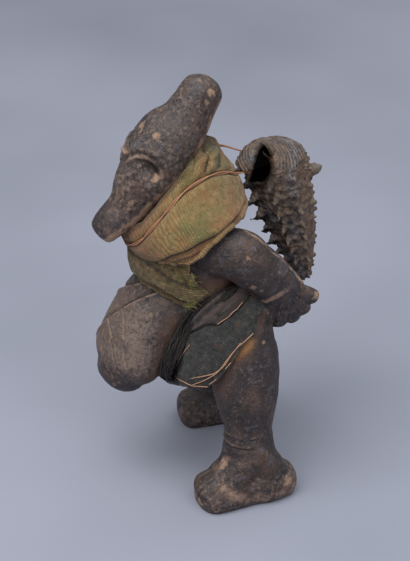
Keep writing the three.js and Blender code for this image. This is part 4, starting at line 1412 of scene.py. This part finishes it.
def laid_line(skin, places, lift, count=10):
    """A thread's line laid near a skin through a few places."""
    points, outs = [], []
    for p in smooth_rows(places, count):
        place, normal, *_ = skin.find_nearest(Vector(p))
        points.append(np.array(place + normal * lift))
        outs.append(np.array(normal))
    return np.array(points), np.array(outs)


def straw_tie(cloth, finish):
    """Single dry stalks along the loincloth's border, one over its fold and one aslant in front."""
    skin = tree_of(cloth)
    lines = [seen_line(skin, places) for places in STALKS] + [seen_line(skin, STALKS[1], side=-1)]
    for points, _ in lines:
        points[1:-1] = smooth_rows(points[::7], len(points))[1:-1]  # straw is too stiff for small waves
    paths, outs = zip(*lines)
    return strands("straw_stalks", paths, outs, finish, strands=1, radius=0.19, stray=0.25, step=1.0, seed=5)


# Shell: a helical turret with a row of spines on each whorl

SHELL_BASE = np.array([-3.5, 11.5, 115.5])
SHELL_APEX = np.array([-3.5, 26.0, 61.5])
SHELL_RADIUS = 11
WHORLS, SHRINK = 9, 0.93
SPINES, SPINE_HEIGHT, FIRST_SPINE = 9, 3.6, 0.4  # spines a turn, their height and where they start
TAPER = 1.9  # the power that bows the turret's outline
CLOSED_BELOW, CLOSED_RISE = 4.6, 7.4  # where the rounded end starts on the axis and how high it is
LIP = [[-2.5, 12, 115, 2.2, 3.5], [-0.5, 8.5, 117.5, 1.4, 4], [1, 3.5, 116, 0.9, 4.5],
       [2, -0.5, 113.5, 0.7, 3.4]]
LIP_ACROSS = [0.5, -0.2, 0.8]
HORN = [[-2.5, 20, 105.0, 3.2, 3.2], [-1.8, 24.5, 105.6, 2.7, 2.7], [-1.4, 28.2, 106.6, 1.5, 1.5]]
MOUTH = np.array([3.9, 4.2, 112.3])
MOUTH_SIZE = np.array([6.4, 5.0, 11.5])
MOUTH_SLANT = 0.3
MOUTH_WIDTH = np.array([[-12, 1.0], [-2, 1.0], [3, 0.75], [9, 0.35], [12, 0.2]])
CURL = np.array([2.5, 6.0, 117.0])  # the middle of the growth lines on the closed end


def shell_axes():
    """The way from the shell's round end to its tip, its length, and the two ways square to it."""
    along = unit(SHELL_APEX - SHELL_BASE)
    side = unit(np.cross(along, [1, 0, 0]))
    return along, np.linalg.norm(SHELL_APEX - SHELL_BASE), side, np.cross(along, side)


def turret_tree():
    """A strip wound round an axis: each whorl lower and narrower than the last, with a keel of
    spines. A grid's x is the number of turns and its y the place across one whorl."""
    tree, given = start_tree("shell_turret", "Shell", {
        "Length": "Float", "Radius": "Float", "Whorls": "Float", "Shrink": "Float",
        "Spines": "Float", "Spine": "Float", "Start": "Float", "Finish": "Material"})
    maths = arithmetic(tree)

    def bump(middle, narrow):
        off = maths("MULTIPLY", maths("SUBTRACT", across, middle), narrow)
        return maths("EXPONENT", maths("MULTIPLY", maths("MULTIPLY", off, off), -1.0))

    grid = add(tree, "GeometryNodeMeshGrid", {
        "Size X": given["Whorls"], "Size Y": 1.0, "Vertices X": 54 * WHORLS + 1, "Vertices Y": 15})
    place = add(tree, "ShaderNodeSeparateXYZ", {0: add(tree, "GeometryNodeInputPosition")}).outputs
    turns = maths("MULTIPLY_ADD", given["Whorls"], 0.5, place[0])
    across = maths("ADD", place[1], 0.5)
    wound = maths("ADD", turns, across)

    # how far down the axis a place is, and how wide the turret is there
    gone = maths("SUBTRACT", 1.0, maths("POWER", given["Shrink"], wound))
    whole = maths("SUBTRACT", 1.0, maths("POWER", given["Shrink"], maths("ADD", given["Whorls"], 1.0)))
    share = maths("MINIMUM", maths("DIVIDE", gone, whole), 1.0)
    taper = maths("POWER", maths("SUBTRACT", 1.0, maths("POWER", share, TAPER)), 0.8)
    opening = add(tree, "ShaderNodeMapRange", {0: wound, 1: 0.0, 2: 0.7, 3: 0.55, 4: 1.0}).outputs[0]
    keel = add(tree, "ShaderNodeFloatCurve", {"Value": across})
    bend = keel.mapping.curves[0]
    bend.points[0].location, bend.points[1].location = (0, 0.95), (1, 0.95)
    for x, y in ((0.12, 0.96), (0.3, 0.99), (0.45, 0.975), (0.6, 1.0), (0.72, 1.0), (0.86, 0.965)):
        bend.points.new(x, y)
    keel.mapping.update()
    smooth_radius = maths("MULTIPLY", maths("MULTIPLY_ADD", taper, given["Radius"], 0.00025),
                          maths("MULTIPLY", opening, keel))

    # spines of uneven height on each whorl's keel, with a row of small knobs above them
    count = maths("MULTIPLY", turns, given["Spines"])
    beat = maths("COSINE", maths("MULTIPLY", count, 2 * math.pi))
    sharp = maths("POWER", maths("MAXIMUM", beat, 0.0), 3.2)
    uneven = add(tree, "FunctionNodeRandomValue",
                 {2: 0.6, 3: 1.25, "ID": maths("ROUND", count), "Seed": 4}).outputs[1]
    angle = maths("MULTIPLY_ADD", turns, -2 * math.pi, given["Start"])
    forwards = maths("MULTIPLY_ADD", maths("COSINE", angle), 0.45, 1.0)
    height = maths("MULTIPLY", given["Spine"], maths("MULTIPLY_ADD", share, -0.5, 1.0))
    shape = maths("MULTIPLY", maths("MULTIPLY", sharp, uneven), maths("MULTIPLY", bump(0.66, 6.0), forwards))
    spine = maths("MULTIPLY", shape, height)
    knob = maths("MULTIPLY", maths("MULTIPLY", sharp, 0.00035), bump(0.3, 9.0))

    radius = maths("ADD", smooth_radius, maths("ADD", spine, knob))
    down = maths("ADD", maths("MULTIPLY", share, given["Length"]), maths("MULTIPLY", spine, 0.3))
    spot = add(tree, "ShaderNodeCombineXYZ", {
        0: maths("MULTIPLY", maths("COSINE", angle), radius),
        1: maths("MULTIPLY", maths("SINE", angle), radius),
        2: down})
    wound_up = add(tree, "GeometryNodeSetPosition", {"Geometry": grid, "Position": spot})
    closed = add(tree, "GeometryNodeMergeByDistance", {"Geometry": wound_up, "Distance": 0.00002})
    return end_tree(tree, closed, given["Finish"])


def turret(finish):
    """The wound part's points and triangles, in its place on the figure."""
    along, length, side, rise = shell_axes()
    wound = dressed(piece_of("turret", [[0, 0, 0]], []), turret_tree(), length=length * MM,
                    radius=SHELL_RADIUS * MM, whorls=float(WHORLS), shrink=SHRINK, spines=float(SPINES),
                    spine=SPINE_HEIGHT * MM, start=FIRST_SPINE, finish=finish)
    mesh = bmesh.new()
    mesh.from_mesh(wound.data)
    bmesh.ops.holes_fill(mesh, edges=[e for e in mesh.edges if e.is_boundary])
    bmesh.ops.recalc_face_normals(mesh, faces=mesh.faces)
    mesh.to_mesh(wound.data)
    mesh.free()
    local = points_of(wound)[0] - CENTRE
    points = SHELL_BASE + local[:, :1] * side + local[:, 1:2] * rise + local[:, 2:] * along
    faces = triangles_of(wound).tolist()
    bpy.data.objects.remove(wound)
    return points, faces


def closed_end(count=40):
    """The rounded end above the turret."""
    along, _, side, rise = shell_axes()
    turn = np.linspace(0, 2 * math.pi, 96, endpoint=False)[:, None]
    rings = []
    for k in range(count - 1, 0, -1):
        left = 1 - k / count
        radius = SHELL_RADIUS * math.sqrt(1 - left ** 2) * (1 - 0.06 * left)
        middle = SHELL_BASE + along * (CLOSED_BELOW - CLOSED_RISE * left ** 1.6)
        rings.append(middle + (np.cos(turn) * side + np.sin(turn) * rise) * radius)
    return skinned(np.array(rings), SHELL_BASE + along * CLOSED_BELOW,
                   SHELL_BASE + along * (CLOSED_BELOW - CLOSED_RISE))


def shell(finish):
    """Turret, closed end, lip and horn in one, with the mouth pressed in and the surface worn."""
    along, length, *_ = shell_axes()
    lip = limb(LIP, across=LIP_ACROSS, ends=(0.7, 0.7))
    piece = fused("snail_shell", [turret(finish), closed_end(), lip, limb(HORN, sides=16)], 0.27, 1)
    points, normals = points_of(piece)

    inside = points - MOUTH
    inside[:, 1] -= MOUTH_SLANT * inside[:, 2]
    beside = inside[:, 1].copy()
    inside[:, 1] /= np.interp(inside[:, 2], *MOUTH_WIDTH.T)
    depth = np.linalg.norm(inside / MOUTH_SIZE, axis=1)
    dent = ramp(-depth, -1.0, -0.4 + 0.3 * ramp(beside, -1, 3))
    away = unit(SHELL_BASE + along * 8 - MOUTH)
    knobs = 0.65 * rough(points, 2.6, 3, 51) + 0.2 * rough(points, 1.1, 2, 52)
    knobs *= ramp((points - SHELL_BASE) @ along, 2, 7) * (1 - dent)
    points = points + away * (dent * 6.0)[:, None] + normals * knobs[:, None]

    local = points - SHELL_BASE
    height = local @ along
    off_axis = np.linalg.norm(local - height[:, None] * along, axis=1)
    taper = SHELL_RADIUS * np.maximum(1 - np.clip(height / length, 0, 1) ** TAPER, 0) ** 0.8
    spread = points - CURL
    spread = np.linalg.norm(spread - (spread @ along)[:, None] * along, axis=1)
    ridged = ramp(-height, -5, -3.5) * ramp(spread, 3.2, 4.5) * ramp(1 - dent, 0.5, 0.9)
    ridge = np.sin(spread * 2 * math.pi / 1.05)
    underside = ramp((local[:, 1] - height * along[1]) / np.maximum(taper, 1), -0.25, 0.5)
    # painted shade in the mouth and along its edge; dirt in the seams between the whorls
    deep = [
        0.6 * ramp(taper - off_axis, 0.6, 1.6) * ramp(height, 5, 8),
        0.95 * ramp(dent, 0.02, 0.5),
        0.6 * ramp(-depth, -1.45, -1.0) * ramp(beside, 0, 3),
    ]
    set_points(piece, points + normals * (0.16 * ridge * ridged)[:, None])
    set_values(piece, "deep", np.maximum.reduce(deep))
    set_values(piece, "high", ramp(off_axis - taper, 0.5, 2.2) * ramp(height, 3, 6))
    set_values(piece, "cords", ramp(-ridge, 0, 0.9) * ridged)
    set_values(piece, "dirt", underside * ramp(height, 3, 9)
               * np.clip(0.8 + 0.5 * rough(points, 3.5, 3, 53), 0, 1))
    piece.data.materials.clear()
    piece.data.materials.append(finish)
    return piece


# Pieces

def finish_piece(piece, slot, *nodes):
    """Smooth shading, its place on the figure and what it stands for; the slot is not used."""
    piece.data.polygons.foreach_set("use_smooth", [True] * len(piece.data.polygons))
    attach(piece, "root")
    if nodes:
        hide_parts(*nodes)
    return piece


def make_floor():
    """A wide sheet of pale paper under the figure."""
    mesh = bmesh.new()
    bmesh.ops.create_grid(mesh, x_segments=8, y_segments=8, size=1.6)
    floor = bpy.data.objects.new("floor", bpy.data.meshes.new("floor"))
    mesh.to_mesh(floor.data)
    mesh.free()
    floor.data.materials.append(matt_paper("#8a8f9d"))
    bpy.context.scene.collection.objects.link(floor)


make_floor()
clay = fired_terracotta()
body = make_body()
body.data.materials.append(clay)

olive = woven("cotton_handspun_olive", "#957a4e", [
    ("clouds", 0.5, 0.62, "#7c7045"),
    ("clouds", 0.46, 0.34, "#8d6840"),
    ("fuzz", 0.53, 0.7, "#a48c60"),
    ("fuzz", 0.46, 0.34, "#665333"),
    ("orange", 0.1, 1.0, "#90623c"),
    ("green", 0.1, 1.0, "#59623a"),
    ("stain", 0.1, 1.0, "#7c4c37"),
    ("threads", 0.4, -0.1, "#6b5a39"),
    ("ribs", 0.3, -0.3, "#5f4f30"),
    ("hem", 0.2, 1.0, "#9c8a62"),
    # painted shade in the creases
    ("crease", 0.1, 0.9, "#241b11"),
    ("fleck", 0.62, 0.76, "#bda77a"),
], rib=0.75, thread=0.45, sheen=0.12)
# the chest band's cloth: the neck cloth's olive cotton painted darker and browner as painted shade for the
# shade it lies in, with its own stains and yellow-green end
brown = woven("cotton_handspun_brown", "#6b5739", [
    ("clouds", 0.48, 0.62, "#58522f"),
    ("fuzz", 0.52, 0.66, "#86754c"),
    ("fuzz", 0.46, 0.34, "#423522"),
    ("stain", 0.2, 1.0, "#4e3b24"),
    ("ribs", 0.3, -0.4, "#40341f"),
    ("green", 0.15, 1.0, "#77713a"),
    ("hem", 0.2, 1.0, "#7a7148"),
    # painted shade in the creases
    ("crease", 0.1, 0.9, "#140f0a"),
    ("fleck", 0.62, 0.76, "#93835c"),
], rib=0.9, thread=0.5, sheen=0.1)
dark = woven("cotton_handspun_indigo_grey", "#363637", [
    ("clouds", 0.5, 0.62, "#2b2e2b"),
    ("clouds", 0.45, 0.34, "#403733"),
    ("fuzz", 0.53, 0.66, "#494945"),
    ("fuzz", 0.46, 0.34, "#222424"),
    ("ribs", 0.3, -0.3, "#20221f"),
    ("orange", 0.1, 1.0, "#4a3a32"),
    ("stain", 0.1, 1.0, "#5f504b"),
    # painted shade in the creases
    ("crease", 0.1, 0.9, "#131112"),
    ("fleck", 0.62, 0.76, "#66625e"),
], rib=0.8, thread=0.45, sheen=0.08)

rolled = neck_cloth(olive, body)
band = chest_band(brown)
fray = frayed_end(fibre("cotton_thread_yellow_green", "#5a5230", "#8c8650", 0.9), body)
belt = fibre_belt(fibre("plant_fibre_blackened", "#0c0b0c", "#332c2a", 0.6, 0.6))
loin = loincloth(dark)
stalks = straw_tie(loin, fibre("straw_dried", "#7c543f", "#c09a7e", 0.5))
string = hanging_cord(fibre("bast_cord_two_ply", "#5e3d29", "#a8795a", 0.7))
snail = shell(sea_shell())
body = lightened(body)

finish_piece(body, "fired_clay", "terracotta_figure")
finish_piece(rolled, "olive_cloth", "neck_cloth")
finish_piece(band, "brown_cloth", "chest_band")
finish_piece(fray, "brown_cloth")
finish_piece(belt, "black_fibre", "fibre_belt")
finish_piece(loin, "dark_cloth", "loincloth")
finish_piece(stalks, "straw", "straw_tie")
finish_piece(string, "brown_cord", "hanging_cord")
finish_piece(snail, "sea_shell", "shell")
